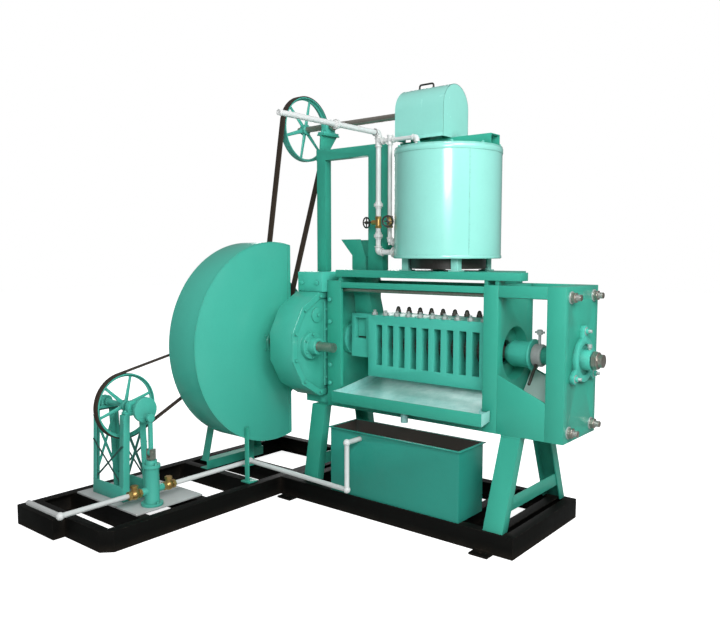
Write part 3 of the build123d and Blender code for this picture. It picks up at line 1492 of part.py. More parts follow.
def pump_pipework():
    y_out, y_in, z = pump_ports()
    valve = 90.0
    riser_top = skid_height + tank_height - 45
    suction = pipe_run(
        [
            (pump_x, y_in + valve, z),
            (pump_x, suction_run_y, z),
            (suction_riser_x, suction_run_y, z - 25),
            (suction_riser_x, suction_run_y, riser_top),
            (suction_riser_x, tank_front_y + 30, riser_top),
        ],
        pipe_radius,
    )
    cock_x = -150.0
    delivery = pipe_run(
        [
            (pump_x, y_out - valve, z),
            (pump_x, delivery_turn_y, z),
            (delivery_end_x, delivery_turn_y, z),
        ],
        pipe_radius,
    )
    delivery -= bar_x(delivery_end_x, delivery_end_x + 60, delivery_turn_y, z, pipe_radius - pipe_wall)
    return group([suction, delivery])


# Directions in which the stems of the two steam valves point, as turns about Z from +X
def stem_places():
    return [(inlet_drop_x, 180.0), (bypass_drop_x, bypass_stem_turn)]


# Brass fittings: two check valves at the pump, and the bodies of the two steam valves
def valve_bodies():
    y_out, y_in, z = pump_ports()
    bodies = []
    for y0, y1 in ((y_out - 90, y_out), (y_in, y_in + 90)):
        middle = (y0 + y1) / 2
        valve = bar_y(y0, y1, pump_x, z, 21)
        valve += Pos(pump_x, middle, z) * Sphere(33)
        valve += bar_z(z, z + 48, pump_x, middle, 19)
        valve += hexagon_z(z + 40, z + 56, pump_x, middle, 24)
        valve += hexagon_y(y0, y0 + 18, pump_x, z, 28)
        valve += hexagon_y(y1 - 18, y1, pump_x, z, 28)
        bodies.append(valve)
    for x, turn in stem_places():
        valve = bar_z(-38, 38, 0, 0, 18)
        valve += hexagon_z(-38, -24, 0, 0, 23)
        valve += hexagon_z(24, 38, 0, 0, 23)
        valve += bar_x(0, valve_stem_length - 50, 0, 0, 16)
        valve -= bar_x(12, valve_stem_length, 0, 0, stem_radius + running_clearance)
        bodies.append(Pos(x, drop_pipe_y, valve_height) * Rotation(0, 0, turn) * valve)
    return group(bodies)


def handwheel(x, turn):
    r = handwheel_radius
    hub = valve_stem_length
    wheel = Pos(hub, 0, 0) * Rotation(0, 90, 0) * Torus(r, 5)
    wheel += bar_x(hub - 9, hub + 9, 0, 0, 10)
    for i in range(4):
        wheel += Rotation(90 * i, 0, 0) * block(hub - 3, hub + 3, 0, r, -3, 3)
    wheel += bar_x(14, hub + 4, 0, 0, stem_radius)
    return Pos(x, drop_pipe_y, valve_height) * Rotation(0, 0, turn) * wheel


def steam_pipework():
    r = steam_pipe_radius
    y = drop_pipe_y
    top = header_height
    low = kettle_bottom + 40
    branch_low = low + 65
    shell_left = kettle_x - sqrt(kettle_radius**2 - y**2)
    over = valve_height + 38
    under = valve_height - 38
    header = pipe_run([(inlet_drop_x, header_end_y, top), (inlet_drop_x, y, top), (inlet_drop_x, y, over)], r)
    header -= bar_y(header_end_y, header_end_y + 60, inlet_drop_x, top, r - pipe_wall)
    small = r * 0.8
    branch_top = top - 54
    bypass = pipe_run([(inlet_drop_x, y, branch_top), (bypass_drop_x, y, branch_top)], small)
    bypass += pipe_run([(bypass_drop_x, y, branch_top), (bypass_drop_x, y, over)], small)
    bypass += pipe_run([(bypass_drop_x, y, branch_top), (lid_pipe_x, y, branch_top)], small)
    bypass += pipe_run([(lid_pipe_x, y, branch_top), (lid_pipe_x, y, lid_top)], small)
    for x in (bypass_drop_x, lid_pipe_x):
        bypass += Pos(x, y, branch_top) * Sphere(small * 1.45)
    inlet = pipe_run([(inlet_drop_x, y, under), (inlet_drop_x, y, low), (shell_left + 20, y, low)], r)
    small_inlet = pipe_run([(bypass_drop_x, y, under), (bypass_drop_x, y, branch_low), (shell_left + 20, y, branch_low)], small)
    kettle = bar_z(kettle_bottom, kettle_top, kettle_x, 0, kettle_radius)
    return group([header + bypass, inlet - kettle, small_inlet - kettle])


def main():
    os.makedirs("parts", exist_ok=True)
    save(skid_bolt_holes(main_skid()), "main_skid")
    save(skid_bolt_holes(pump_skid()), "pump_skid")
    save(leg_frames(), "leg_frames")
    save(feed_end_frame(), "feed_end_frame")
    save(chamber_end_plate(), "chamber_end_plate")
    save(end_frame(), "end_frame")
    save(side_rails(), "side_rails")
    save(tie_rods(), "tie_rods")
    save(housing_bolts(), "housing_bolts")
    save(worm_shaft(), "worm_shaft")
    save(worm_sections(), "worm_sections")
    save(lining_bars(), "lining_bars")
    save(cage_half(-1), "cage_front_half")
    save(cage_half(1), "cage_rear_half")
    save(cage_bolts(), "cage_bolts")
    save(feed_throat(), "feed_throat")
    save(choke_cone(), "choke_cone")
    save(choke_nut(), "choke_nut")
    save(worm_bearings(), "worm_bearings")
    save(bull_gear(), "bull_gear")
    save(pinion(), "pinion")
    save(gear_case(), "gear_case")
    save(gear_cover(), "gear_cover")
    save(drive_shaft(), "drive_shaft")
    main_wheel = spoked_pulley(main_pulley_x, drive_y, drive_z, main_pulley_radius, main_pulley_face, drive_shaft_radius, 75, 6)
    save(main_wheel, "main_pulley")
    kettle_drive = plain_pulley(kettle_belt_x, drive_y, drive_z, kettle_drive_radius, kettle_belt_width + 10, drive_shaft_radius)
    pump_drive = plain_pulley(pump_belt_x, drive_y, drive_z, pump_drive_radius, pump_belt_width + 10, drive_shaft_radius)
    save(group([kettle_drive, pump_drive]), "belt_drive_pulleys")
    top_wheel = spoked_pulley(kettle_belt_x, 0, line_shaft_z, top_pulley_radius, kettle_belt_width + 6, line_shaft_radius, 38, 6)
    save(top_wheel, "top_pulley")
    pump_wheel = spoked_pulley(pump_belt_x, pump_y, pump_shaft_height, pump_pulley_radius, pump_belt_width + 6, pump_shaft_radius, 34, 6)
    save(pump_wheel, "pump_pulley")
    drive = (drive_y, drive_z)
    kettle_loop = belt_loop(kettle_belt_x, kettle_belt_width, (*drive, kettle_drive_radius), (0, line_shaft_z, top_pulley_radius))
    save(kettle_loop, "kettle_belt")
    pump_loop = belt_loop(pump_belt_x, pump_belt_width, (*drive, pump_drive_radius), (pump_y, pump_shaft_height, pump_pulley_radius))
    save(pump_loop, "pump_belt")
    save(belt_guard(), "belt_guard")
    save(guard_supports(), "guard_supports")
    save(plummer_blocks(), "plummer_blocks")
    save(mast_portal(), "mast_portal")
    save(deck_frame(), "deck_frame")
    save(hopper(), "hopper")
    save(kettle_shell(), "kettle_shell")
    save(kettle_pan(), "kettle_pan")
    save(kettle_lid(), "kettle_lid")
    save(lid_beam(), "lid_beam")
    save(line_shaft(), "line_shaft")
    save(bevel_wheel(), "bevel_wheel")
    save(bevel_pinion(), "bevel_pinion")
    save(stirrer(), "stirrer")
    save(box_guard(), "box_guard")
    save(kettle_chute(), "kettle_chute")
    save(gate(), "discharge_gate")
    save(oil_tray(), "oil_tray")
    save(oil_tank(), "oil_tank")
    save(pump_stand(), "pump_stand")
    save(pump_base_plates(), "pump_base_plates")
    save(pump_crankshaft(), "pump_crankshaft")
    save(connecting_rod(), "connecting_rod")
    save(plunger(), "plunger")
    save(pump_cylinder(), "pump_cylinder")
    save(pump_pipework(), "pump_pipework")
    save(valve_bodies(), "valve_bodies")
    for (x, turn), name in zip(stem_places(), ("inlet_handwheel", "bypass_handwheel")):
        save(handwheel(x, turn), name)
    save(steam_pipework(), "steam_pipework")


main()
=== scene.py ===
import json
import math

import bpy
from mathutils import Matrix, Vector


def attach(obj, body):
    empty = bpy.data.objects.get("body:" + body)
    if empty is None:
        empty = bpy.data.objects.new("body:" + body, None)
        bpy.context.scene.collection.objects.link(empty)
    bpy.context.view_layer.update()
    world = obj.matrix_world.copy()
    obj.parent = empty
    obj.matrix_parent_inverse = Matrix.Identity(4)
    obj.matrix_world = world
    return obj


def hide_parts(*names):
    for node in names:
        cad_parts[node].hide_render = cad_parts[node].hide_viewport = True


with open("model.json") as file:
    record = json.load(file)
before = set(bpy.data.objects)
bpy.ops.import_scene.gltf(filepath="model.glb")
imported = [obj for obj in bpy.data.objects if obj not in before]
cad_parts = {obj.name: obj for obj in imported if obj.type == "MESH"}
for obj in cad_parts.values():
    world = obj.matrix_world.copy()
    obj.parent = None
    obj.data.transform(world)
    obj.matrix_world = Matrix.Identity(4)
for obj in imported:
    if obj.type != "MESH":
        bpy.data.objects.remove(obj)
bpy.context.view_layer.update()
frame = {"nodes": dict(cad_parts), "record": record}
record = frame["record"]
nodes = frame["nodes"]

# camera, floor and light
cameraLook = {
    "place": (3.1168, -4.0342, 1.7108),
    "turn": 39.2,
    "tilt": 5.2,
    "lens": 36.46,
    "sensor": 36.0,
}
lightLook = {
    "skyLow": 0.17,
    "skyHigh": 0.30,
    "skyFrom": -0.15,
    "skyTo": 0.85,
    "backdrop": 1.0,
    "floorSize": 60,
    "floorHeight": -0.002,
    "floorRough": 0.9,
    "floorColour": (0.95, 0.95, 0.95),
    "floorBounce": (0.45, 0.47, 0.46),
    "floorLift": 0.86,
    "centre": (0.1, -0.5, 1.2),
}
lampLooks = {
    "keyLamp": {"place": (5.2, -3.4, 4.8), "power": 175.0, "size": 2.2},
    "frontLamp": {"place": (3.6, -4.8, 3.2), "power": 125.0, "size": 1.5},
    "sideLamp": {"place": (6.0, -1.2, 4.6), "power": 75.0, "size": 2.5},
    "backLamp": {"place": (-4.5, 5.0, 3.6), "power": 130.0, "size": 3.0},
}
white = (1, 1, 1, 1)


def makeCamera():
    cam = bpy.data.cameras.new("photoCamera")
    cam.lens = cameraLook["lens"]
    cam.sensor_width = cameraLook["sensor"]
    obj = bpy.data.objects.new("photoCamera", cam)
    bpy.context.collection.objects.link(obj)
    obj.location = cameraLook["place"]
    turn = math.radians(cameraLook["turn"])
    tilt = math.radians(cameraLook["tilt"])
    obj.rotation_euler = (math.radians(90) - tilt, 0.0, turn)
    bpy.context.scene.camera = obj


def makeLight(name, look, target):
    lamp = bpy.data.lights.new(name, "AREA")
    lamp.energy = look["power"]
    lamp.size = look["size"]
    obj = bpy.data.objects.new(name, lamp)
    bpy.context.collection.objects.link(obj)
    obj.location = look["place"]
    way = Vector(target) - obj.location
    obj.rotation_euler = way.to_track_quat("-Z", "Y").to_euler()


# one shader node: an input takes a plain value or a link from another node's socket
def addNode(tree, kind, inputs=None, **settings):
    node = tree.nodes.new("ShaderNode" + kind)
    for key, value in settings.items():
        setattr(node, key, value)
    for key, value in (inputs or {}).items():
        if isinstance(value, bpy.types.NodeSocket):
            tree.links.new(value, node.inputs[key])
        elif value is not None:
            node.inputs[key].default_value = value
    return node


def newMaterial(name):
    mat = bpy.data.materials.new(name)
    mat.use_nodes = True
    return mat, mat.node_tree, mat.node_tree.nodes["Principled BSDF"]


# the camera sees plain white, the machine a sky that is brighter above
def makeSky():
    world = bpy.data.worlds.new("studioSky")
    bpy.context.scene.world = world
    world.use_nodes = True
    tree = world.node_tree
    tree.nodes.clear()
    place = addNode(tree, "TexCoord")
    split = addNode(tree, "SeparateXYZ", {0: place.outputs["Generated"]})
    limits = {"From Min": "skyFrom", "From Max": "skyTo", "To Min": "skyLow", "To Max": "skyHigh"}
    limits = {socketName: lightLook[key] for socketName, key in limits.items()}
    ramp = addNode(tree, "MapRange", {**limits, "Value": split.outputs["Z"]}, interpolation_type="SMOOTHSTEP")
    sky = addNode(tree, "Background", {"Color": white, "Strength": ramp.outputs["Result"]})
    plain = addNode(tree, "Background", {"Color": white, "Strength": lightLook["backdrop"]})
    path = addNode(tree, "LightPath")
    mix = addNode(tree, "MixShader", {0: path.outputs["Is Camera Ray"], 1: sky.outputs[0], 2: plain.outputs[0]})
    addNode(tree, "OutputWorld", {0: mix.outputs[0]})


def makeFloor():
    bpy.ops.object.select_all(action="DESELECT")
    bpy.ops.mesh.primitive_plane_add(size=lightLook["floorSize"], location=(0, 0, lightLook["floorHeight"]))
    floor = bpy.context.active_object
    floor.name = "studioFloor"
    mat, tree, shader = newMaterial("floorWhite")
    shader.inputs["Roughness"].default_value = lightLook["floorRough"]
    seen = addNode(tree, "LightPath").outputs["Is Camera Ray"]
    colours = {6: (*lightLook["floorBounce"], 1), 7: (*lightLook["floorColour"], 1)}
    tone = addNode(tree, "Mix", data_type="RGBA", inputs={**colours, 0: seen})
    tree.links.new(tone.outputs[2], shader.inputs["Base Color"])
    lift = addNode(tree, "Math", {0: seen, 1: lightLook["floorLift"]}, operation="MULTIPLY")
    shader.inputs["Emission Color"].default_value = white
    tree.links.new(lift.outputs[0], shader.inputs["Emission Strength"])
    floor.data.materials.append(mat)


makeCamera()
makeSky()
makeFloor()
for lampName, lampLook in lampLooks.items():
    makeLight(lampName, lampLook, lightLook["centre"])
bpy.context.scene.view_settings.view_transform = "Standard"
print("camera, floor and light are set")

# shared effects


def newGroup(name, inSockets, outSockets):
    group = bpy.data.node_groups.new(name, "ShaderNodeTree")
    for socketName, kind, value in inSockets:
        socket = group.interface.new_socket(name=socketName, in_out="INPUT", socket_type=kind)
        socket.default_value = value
    for socketName, kind in outSockets:
        group.interface.new_socket(name=socketName, in_out="OUTPUT", socket_type=kind)
    start = group.nodes.new("NodeGroupInput")
    end = group.nodes.new("NodeGroupOutput")
    return group, start, end


def addMath(tree, kind, first, second=None, clamp=False):
    return addNode(tree, "Math", {0: first, 1: second}, operation=kind, use_clamp=clamp).outputs[0]


def addNoise(tree, vector, scale, detail, rough):
    values = {"Detail": detail, "Roughness": rough, "Vector": vector, "Scale": scale}
    return addNode(tree, "TexNoise", values).outputs["Fac"]


def addRange(tree, value, fromMin, fromMax, toMin, toMax):
    values = {"Value": value, "From Min": fromMin, "From Max": fromMax, "To Min": toMin, "To Max": toMax}
    return addNode(tree, "MapRange", values).outputs["Result"]


def addMix(tree, factor, first, second):
    return addNode(tree, "Mix", data_type="RGBA", inputs={0: factor, 6: first, 7: second}).outputs[2]


def addBump(tree, shader, height, strength, depth):
    bump = addNode(tree, "Bump", {"Strength": strength, "Distance": depth, "Height": height})
    tree.links.new(bump.outputs[0], shader.inputs["Normal"])


def buildEdgeGroup():
    group, start, end = newGroup(
        "edgeRub",
        [("Radius", "NodeSocketFloat", 0.004), ("Amount", "NodeSocketFloat", 0.5)],
        [("Mask", "NodeSocketFloat")],
    )
    bevel = addNode(group, "Bevel", {"Radius": start.outputs["Radius"]}, samples=4)
    geometry = addNode(group, "NewGeometry")
    both = {0: bevel.outputs[0], 1: geometry.outputs["Normal"]}
    dot = addNode(group, "VectorMath", operation="DOT_PRODUCT", inputs=both)
    sharp = addRange(group, dot.outputs["Value"], 0.985, 0.80, 0.0, 1.0)
    place = addNode(group, "TexCoord").outputs["Object"]
    broken = addNoise(group, place, 34.0, 5.0, 0.7)
    broken = addRange(group, broken, 0.48, 0.62, 0.0, 1.0)
    mask = addMath(group, "MULTIPLY", sharp, broken)
    mask = addMath(group, "MULTIPLY", mask, start.outputs["Amount"], clamp=True)
    group.links.new(mask, end.inputs["Mask"])
    return group


# painted shade: darkens corners, creases and recesses by ambient occlusion, broken into patches of dirt by
# noise
def buildShadeDirtGroup():
    group, start, end = newGroup(
        "cornerShadeAndDirt",
        [("Reach", "NodeSocketFloat", 0.05), ("Amount", "NodeSocketFloat", 0.5)],
        [("Mask", "NodeSocketFloat")],
    )
    hollow = addNode(group, "AmbientOcclusion", {"Distance": start.outputs["Reach"]}, samples=4)
    shade = addRange(group, hollow.outputs["AO"], 0.95, 0.25, 0.0, 1.0)
    place = addNode(group, "TexCoord").outputs["Object"]
    patch = addNoise(group, place, 9.0, 5.0, 0.65)
    patch = addRange(group, patch, 0.30, 0.65, 0.25, 1.0)
    mask = addMath(group, "MULTIPLY", shade, patch)
    mask = addMath(group, "MULTIPLY", mask, start.outputs["Amount"], clamp=True)
    group.links.new(mask, end.inputs["Mask"])
    return group


def buildToneGroup():
    group, start, end = newGroup(
        "toneDrift",
        [
            ("Color", "NodeSocketColor", (0.5, 0.5, 0.5, 1)),
            ("Scale", "NodeSocketFloat", 2.0),
            ("Drift", "NodeSocketFloat", 0.12),
        ],
        [("Color", "NodeSocketColor"), ("Value", "NodeSocketFloat")],
    )
    place = addNode(group, "TexCoord").outputs["Object"]
    wide = addMath(group, "MULTIPLY", addNoise(group, place, start.outputs["Scale"], 4.0, 0.6), 0.8)
    fine = addMath(group, "MULTIPLY", addNoise(group, place, 55.0, 2.0, 0.5), 0.2)
    mixed = addMath(group, "ADD", wide, fine)
    centred = addMath(group, "SUBTRACT", mixed, 0.5)
    swing = addMath(group, "MULTIPLY", centred, start.outputs["Drift"])
    value = addMath(group, "ADD", addMath(group, "MULTIPLY", swing, 2.0), 1.0)
    scaled = addNode(group, "HueSaturation", {"Color": start.outputs["Color"], "Value": value})
    group.links.new(scaled.outputs["Color"], end.inputs["Color"])
    group.links.new(mixed, end.inputs["Value"])
    return group


def buildSkinGroup():
    group, start, end = newGroup(
        "surfaceSkin",
        [
            ("Coarse Scale", "NodeSocketFloat", 40.0),
            ("Fine Scale", "NodeSocketFloat", 260.0),
            ("Fine Share", "NodeSocketFloat", 0.4),
        ],
        [("Height", "NodeSocketFloat")],
    )
    place = addNode(group, "TexCoord").outputs["Object"]
    coarse = addNoise(group, place, start.outputs["Coarse Scale"], 4.0, 0.6)
    fine = addNoise(group, place, start.outputs["Fine Scale"], 2.0, 0.5)
    fine = addMath(group, "MULTIPLY", fine, start.outputs["Fine Share"])
    group.links.new(addMath(group, "ADD", coarse, fine), end.inputs["Height"])
    return group


def buildStreakGroup():
    group, start, end = newGroup(
        "toolMarks",
        [
            ("Stretch", "NodeSocketVector", (1.0, 1.0, 1.0)),
            ("Scale", "NodeSocketFloat", 60.0),
            ("Strength", "NodeSocketFloat", 0.5),
        ],
        [("Value", "NodeSocketFloat"), ("Height", "NodeSocketFloat")],
    )
    place = addNode(group, "TexCoord").outputs["Object"]
    both = {0: place, 1: start.outputs["Stretch"]}
    stretch = addNode(group, "VectorMath", operation="MULTIPLY", inputs=both)
    lines = addNoise(group, stretch.outputs[0], start.outputs["Scale"], 3.0, 0.7)
    stain = addNoise(group, place, 7.0, 4.0, 0.65)
    marks = addMath(group, "MULTIPLY", lines, start.outputs["Strength"])
    value = addMath(group, "ADD", marks, addMath(group, "MULTIPLY", stain, 0.5))
    group.links.new(value, end.inputs["Value"])
    group.links.new(lines, end.inputs["Height"])
    return group


edgeGroup = buildEdgeGroup()
shadeDirtGroup = buildShadeDirtGroup()
toneGroup = buildToneGroup()
skinGroup = buildSkinGroup()
streakGroup = buildStreakGroup()


def placeGroup(tree, group, **values):
    node = tree.nodes.new("ShaderNodeGroup")
    node.node_tree = group
    for socketName, value in values.items():
        node.inputs[socketName.replace("_", " ")].default_value = value
    return node


# what a paint or metal has where its own look says nothing else
# colour of the painted corner shade on the turquoise paints, mixed with dirt
greenShadeDirt = (0.015, 0.075, 0.06)
primer = (0.20, 0.30, 0.26)
paintDefaults = {
    "shadeDirtColour": greenShadeDirt, "shadeDirt": 0.6, "rubColour": primer, "rub": 0.5,
    "drift": 0.10, "driftScale": 2.0, "coarse": 24.0, "fineShare": 0.3,
    "bump": 0.12, "bumpDepth": 0.002, "coat": 0.15, "specular": 0.5,
    "shadeDirtReach": 0.06, "rubRadius": 0.004, "fine": 320.0, "coatRough": 0.12,
}
metalDefaults = {
    "stretch": (1, 1, 1), "scale": 60.0, "marks": 0.5, "shadeDirt": 0.6,
    "shadeDirtReach": 0.03, "bump": 0.15, "bumpDepth": 0.001,
}


# painted steel and castings: drifting colour, painted shade in corners mixed with patchy dirt, edges rubbed to
# primer or metal
def makePaint(name, look):
    look = {**paintDefaults, **look}
    mat, tree, shader = newMaterial(name)
    colour = (*look["colour"], 1)
    tone = placeGroup(tree, toneGroup, Color=colour, Scale=look["driftScale"], Drift=look["drift"])
    shadeDirt = placeGroup(tree, shadeDirtGroup, Reach=look["shadeDirtReach"], Amount=look["shadeDirt"])
    rub = placeGroup(tree, edgeGroup, Radius=look["rubRadius"], Amount=look["rub"])
    # painted shade: corners and recesses darken toward the shade-and-dirt colour
    shadedDirty = addMix(tree, shadeDirt.outputs["Mask"], tone.outputs["Color"], (*look["shadeDirtColour"], 1))
    worn = addMix(tree, rub.outputs["Mask"], shadedDirty, (*look["rubColour"], 1))
    tree.links.new(worn, shader.inputs["Base Color"])
    rough = addRange(tree, tone.outputs["Value"], 0.3, 0.7, look["rough"] - 0.06, look["rough"] + 0.08)
    rough = addMath(tree, "ADD", rough, addMath(tree, "MULTIPLY", shadeDirt.outputs["Mask"], 0.25), clamp=True)
    tree.links.new(rough, shader.inputs["Roughness"])
    skin = placeGroup(
        tree, skinGroup, Coarse_Scale=look["coarse"], Fine_Scale=look["fine"], Fine_Share=look["fineShare"]
    )
    addBump(tree, shader, skin.outputs["Height"], look["bump"], look["bumpDepth"])
    shader.inputs["Coat Weight"].default_value = look["coat"]
    shader.inputs["Coat Roughness"].default_value = look["coatRough"]
    shader.inputs["Specular IOR Level"].default_value = look["specular"]
    return mat


# bare, galvanised or oiled metal with tool marks and stains, and painted shade in corners mixed with patchy
# dirt
def makeMetal(name, look):
    look = {**metalDefaults, **look}
    mat, tree, shader = newMaterial(name)
    marks = placeGroup(tree, streakGroup, Stretch=look["stretch"], Scale=look["scale"], Strength=look["marks"])
    blend = addRange(tree, marks.outputs["Value"], 0.3, 0.75, 0.0, 1.0)
    colour = addMix(tree, blend, (*look["dark"], 1), (*look["light"], 1))
    shadeDirt = placeGroup(tree, shadeDirtGroup, Reach=look["shadeDirtReach"], Amount=look["shadeDirt"])
    # painted shade: corners and recesses darken toward the shade-and-dirt colour
    shadedDirty = addMix(tree, shadeDirt.outputs["Mask"], colour, (*look["shadeDirtColour"], 1))
    tree.links.new(shadedDirty, shader.inputs["Base Color"])
    rough = addRange(tree, marks.outputs["Value"], 0.3, 0.8, look["rough"] + 0.1, look["rough"] - 0.08)
    tree.links.new(rough, shader.inputs["Roughness"])
    metallic = addRange(tree, shadeDirt.outputs["Mask"], 0.0, 1.0, look["metallic"], 0.1)
    tree.links.new(metallic, shader.inputs["Metallic"])
    addBump(tree, shader, marks.outputs["Height"], look["bump"], look["bumpDepth"])
    return mat


# colour of the painted corner shade on the dark parts, mixed with brown dirt
brownShadeDirt = (0.05, 0.04, 0.03)
paintLooks = {
    "guardPaint": {
        "colour": (0.072, 0.53, 0.41), "rough": 0.34, "coat": 0.3, "coarse": 3.5,
        "bump": 0.3, "bumpDepth": 0.012, "fineShare": 0.03,
    },
    # painted light: this turquoise is paler than the rest, standing in for the bright light on kettle, lid and
    # box guard
    "kettlePaintLit": {
        "colour": (0.36, 0.88, 0.78), "rough": 0.22, "coat": 0.6, "coarse": 3.0,
        "bump": 0.2, "bumpDepth": 0.008, "fineShare": 0.02,
    },
    "castPaint": {
        "colour": (0.085, 0.62, 0.49), "rough": 0.42, "coarse": 60.0,
        "bump": 0.35, "bumpDepth": 0.0015, "shadeDirt": 0.8,
    },
    "framePaint": {"colour": (0.045, 0.46, 0.335), "rough": 0.38, "shadeDirt": 0.7, "rub": 0.7},
    "tankPaint": {
        "colour": (0.028, 0.36, 0.28), "rough": 0.40, "coarse": 4.0,
        "bump": 0.35, "bumpDepth": 0.01, "fineShare": 0.04, "drift": 0.16,
    },
    "pumpPaint": {"colour": (0.080, 0.53, 0.42), "rough": 0.42, "shadeDirt": 0.9, "rub": 0.8},
    "tankInside": {"colour": (0.055, 0.045, 0.038), "rough": 0.55, "shadeDirt": 0.8, "drift": 0.3},
    "bracePaint": {"colour": (0.02, 0.10, 0.085), "rough": 0.5, "shadeDirt": 0.8},
    "skidPaint": {
        "colour": (0.0045, 0.0045, 0.004), "rough": 0.6, "specular": 0.10, "coat": 0.0, "bump": 0.25,
        "shadeDirtColour": brownShadeDirt, "rubColour": (0.10, 0.08, 0.065), "rub": 0.8,
        "drift": 0.35, "driftScale": 5.0,
    },
    "pipePaint": {
        "colour": (0.80, 0.82, 0.82), "rough": 0.35, "drift": 0.06,
        "shadeDirtColour": (0.30, 0.27, 0.22), "rubColour": (0.45, 0.42, 0.38),
    },
    "paleSheet": {
        "colour": (0.72, 0.90, 0.86), "rough": 0.26,
        "shadeDirtColour": (0.25, 0.30, 0.26), "rubColour": (0.5, 0.55, 0.52), "rub": 0.4,
    },
    "platePaint": {
        "colour": (0.54, 0.57, 0.57), "rough": 0.5, "drift": 0.25, "driftScale": 6.0,
        "shadeDirtColour": (0.08, 0.07, 0.06), "rubColour": (0.5, 0.48, 0.45), "rub": 0.9,
    },
    "wheelPaint": {
        "colour": (0.02, 0.018, 0.016), "rough": 0.4,
        "shadeDirtColour": brownShadeDirt, "rubColour": (0.25, 0.2, 0.16), "rub": 0.8,
    },
    "beltCloth": {
        "colour": (0.040, 0.026, 0.016), "rough": 0.62, "coarse": 90.0, "bump": 0.5, "drift": 0.3, "coat": 0.02,
        "shadeDirtColour": (0.012, 0.009, 0.006), "rubColour": (0.16, 0.12, 0.08), "rub": 0.9,
    },
}
metalLooks = {
    "shaftSteel": {
        "dark": (0.30, 0.27, 0.22), "light": (0.66, 0.63, 0.58), "rough": 0.30, "metallic": 0.9,
        "stretch": (6, 0.6, 0.6), "shadeDirtColour": (0.06, 0.05, 0.04),
    },
    "oiledSteel": {
        "dark": (0.05, 0.045, 0.04), "light": (0.20, 0.18, 0.16), "rough": 0.38, "metallic": 0.8,
        "shadeDirtColour": (0.02, 0.015, 0.01),
    },
    "zincSheet": {
        "dark": (0.46, 0.56, 0.54), "light": (0.74, 0.82, 0.80), "rough": 0.36, "metallic": 0.45,
        "scale": 22.0, "shadeDirtColour": (0.18, 0.20, 0.17), "shadeDirt": 0.5,
    },
    "traySheet": {
        "dark": (0.34, 0.78, 0.74), "light": (0.62, 0.97, 0.94), "rough": 0.34, "metallic": 0.20,
        "scale": 14.0, "shadeDirtColour": (0.18, 0.22, 0.19), "shadeDirt": 0.4,
    },
    "valveBrass": {
        "dark": (0.42, 0.24, 0.07), "light": (0.80, 0.56, 0.22), "rough": 0.32, "metallic": 0.9,
        "scale": 40.0, "shadeDirtColour": (0.12, 0.07, 0.03),
    },
}
finishes = {}
for maker, looks in ((makePaint, paintLooks), (makeMetal, metalLooks)):
    for finishName, finishLook in looks.items():
        finishes[finishName] = maker(finishName, finishLook)
print("materials are made")

# the nodes of the frame that show as they are: no finished piece stands for them
nodeFinish = {
    "pumpPaint": ["belt_drive_pulleys"],
    "shaftSteel": ["worm_shaft", "drive_shaft", "line_shaft", "plunger"],
    "oiledSteel": [
        "worm_sections", "lining_bars", "bull_gear", "pinion", "bevel_wheel", "bevel_pinion", "stirrer",
    ],
    "zincSheet": ["discharge_gate", "kettle_pan"],
    "valveBrass": ["valve_bodies"],
}


def giveFinish(obj, finishName):
    obj.data.materials.clear()
    obj.data.materials.append(finishes[finishName])


for finishName, nodeNames in nodeFinish.items():
    for nodeName in nodeNames:
        giveFinish(nodes[nodeName], finishName)
print("the nodes that stay are painted")

# modelling helpers


def deselectAll():
    if bpy.context.object and bpy.context.object.mode != "OBJECT":
        bpy.ops.object.mode_set(mode="OBJECT")
    bpy.ops.object.select_all(action="DESELECT")


def pickOnly(obj):
    deselectAll()
    obj.select_set(True)
    bpy.context.view_layer.objects.active = obj


def editAll(obj=None):
    if obj:
        pickOnly(obj)
    bpy.ops.object.mode_set(mode="EDIT")
    bpy.ops.mesh.select_all(action="SELECT")


def leaveEdit():
    bpy.ops.object.mode_set(mode="OBJECT")


def applyModifier(obj, kind, **settings):
    pickOnly(obj)
    mod = obj.modifiers.new("shapeStep", kind)
    for key, value in settings.items():
        setattr(mod, key, value)
    bpy.ops.object.modifier_apply(modifier=mod.name)


def applyBoolean(obj, other, kind="DIFFERENCE"):
    applyModifier(obj, "BOOLEAN", operation=kind, object=other)
    bpy.data.objects.remove(other)


# keeps what lies below one Y, with the cut closed
def cutAtY(obj, y):
    editAll(obj)
    bpy.ops.mesh.bisect(plane_co=(0, y, 0), plane_no=(0, 1, 0), use_fill=True, clear_outer=True)
    leaveEdit()


def settle(obj):
    pickOnly(obj)
    bpy.ops.object.transform_apply(location=True, rotation=True, scale=True)


def fixNormals(obj):
    editAll(obj)
    bpy.ops.mesh.remove_doubles(threshold=0.00001)
    bpy.ops.mesh.normals_make_consistent(inside=False)
    leaveEdit()


def applyBevel(obj, width, segments=2, angle=40.0):
    limit = {"limit_method": "ANGLE", "angle_limit": math.radians(angle)}
    applyModifier(obj, "BEVEL", width=width, segments=segments, harden_normals=False, **limit)


def smoothFaces(obj, angle=35.0):
    pickOnly(obj)
    bpy.ops.object.shade_smooth_by_angle(angle=math.radians(angle))


def finishPiece(obj, finishName, body, replaced=None):
    giveFinish(obj, finishName)
    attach(obj, body)
    if replaced:
        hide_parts(replaced)


def joinPieces(name, parts):
    deselectAll()
    for part in parts:
        part.select_set(True)
    bpy.context.view_layer.objects.active = parts[0]
    if len(parts) > 1:
        bpy.ops.object.join()
    whole = bpy.context.view_layer.objects.active
    whole.name = name
    whole.data.name = name
    return whole


# a flat-sided bar between two corners, with rounded edges
def makeBar(low, high, edge=0.0015):
    deselectAll()
    middle = [(a + b) / 2 for a, b in zip(low, high)]
    bpy.ops.mesh.primitive_cube_add(size=1, location=middle)
    obj = bpy.context.active_object
    editAll()
    bpy.ops.transform.resize(value=[b - a for a, b in zip(low, high)])
    leaveEdit()
    settle(obj)
    if edge:
        applyBevel(obj, edge)
    return obj


# radius of a ring that closes to a point
thinnest = 0.0001


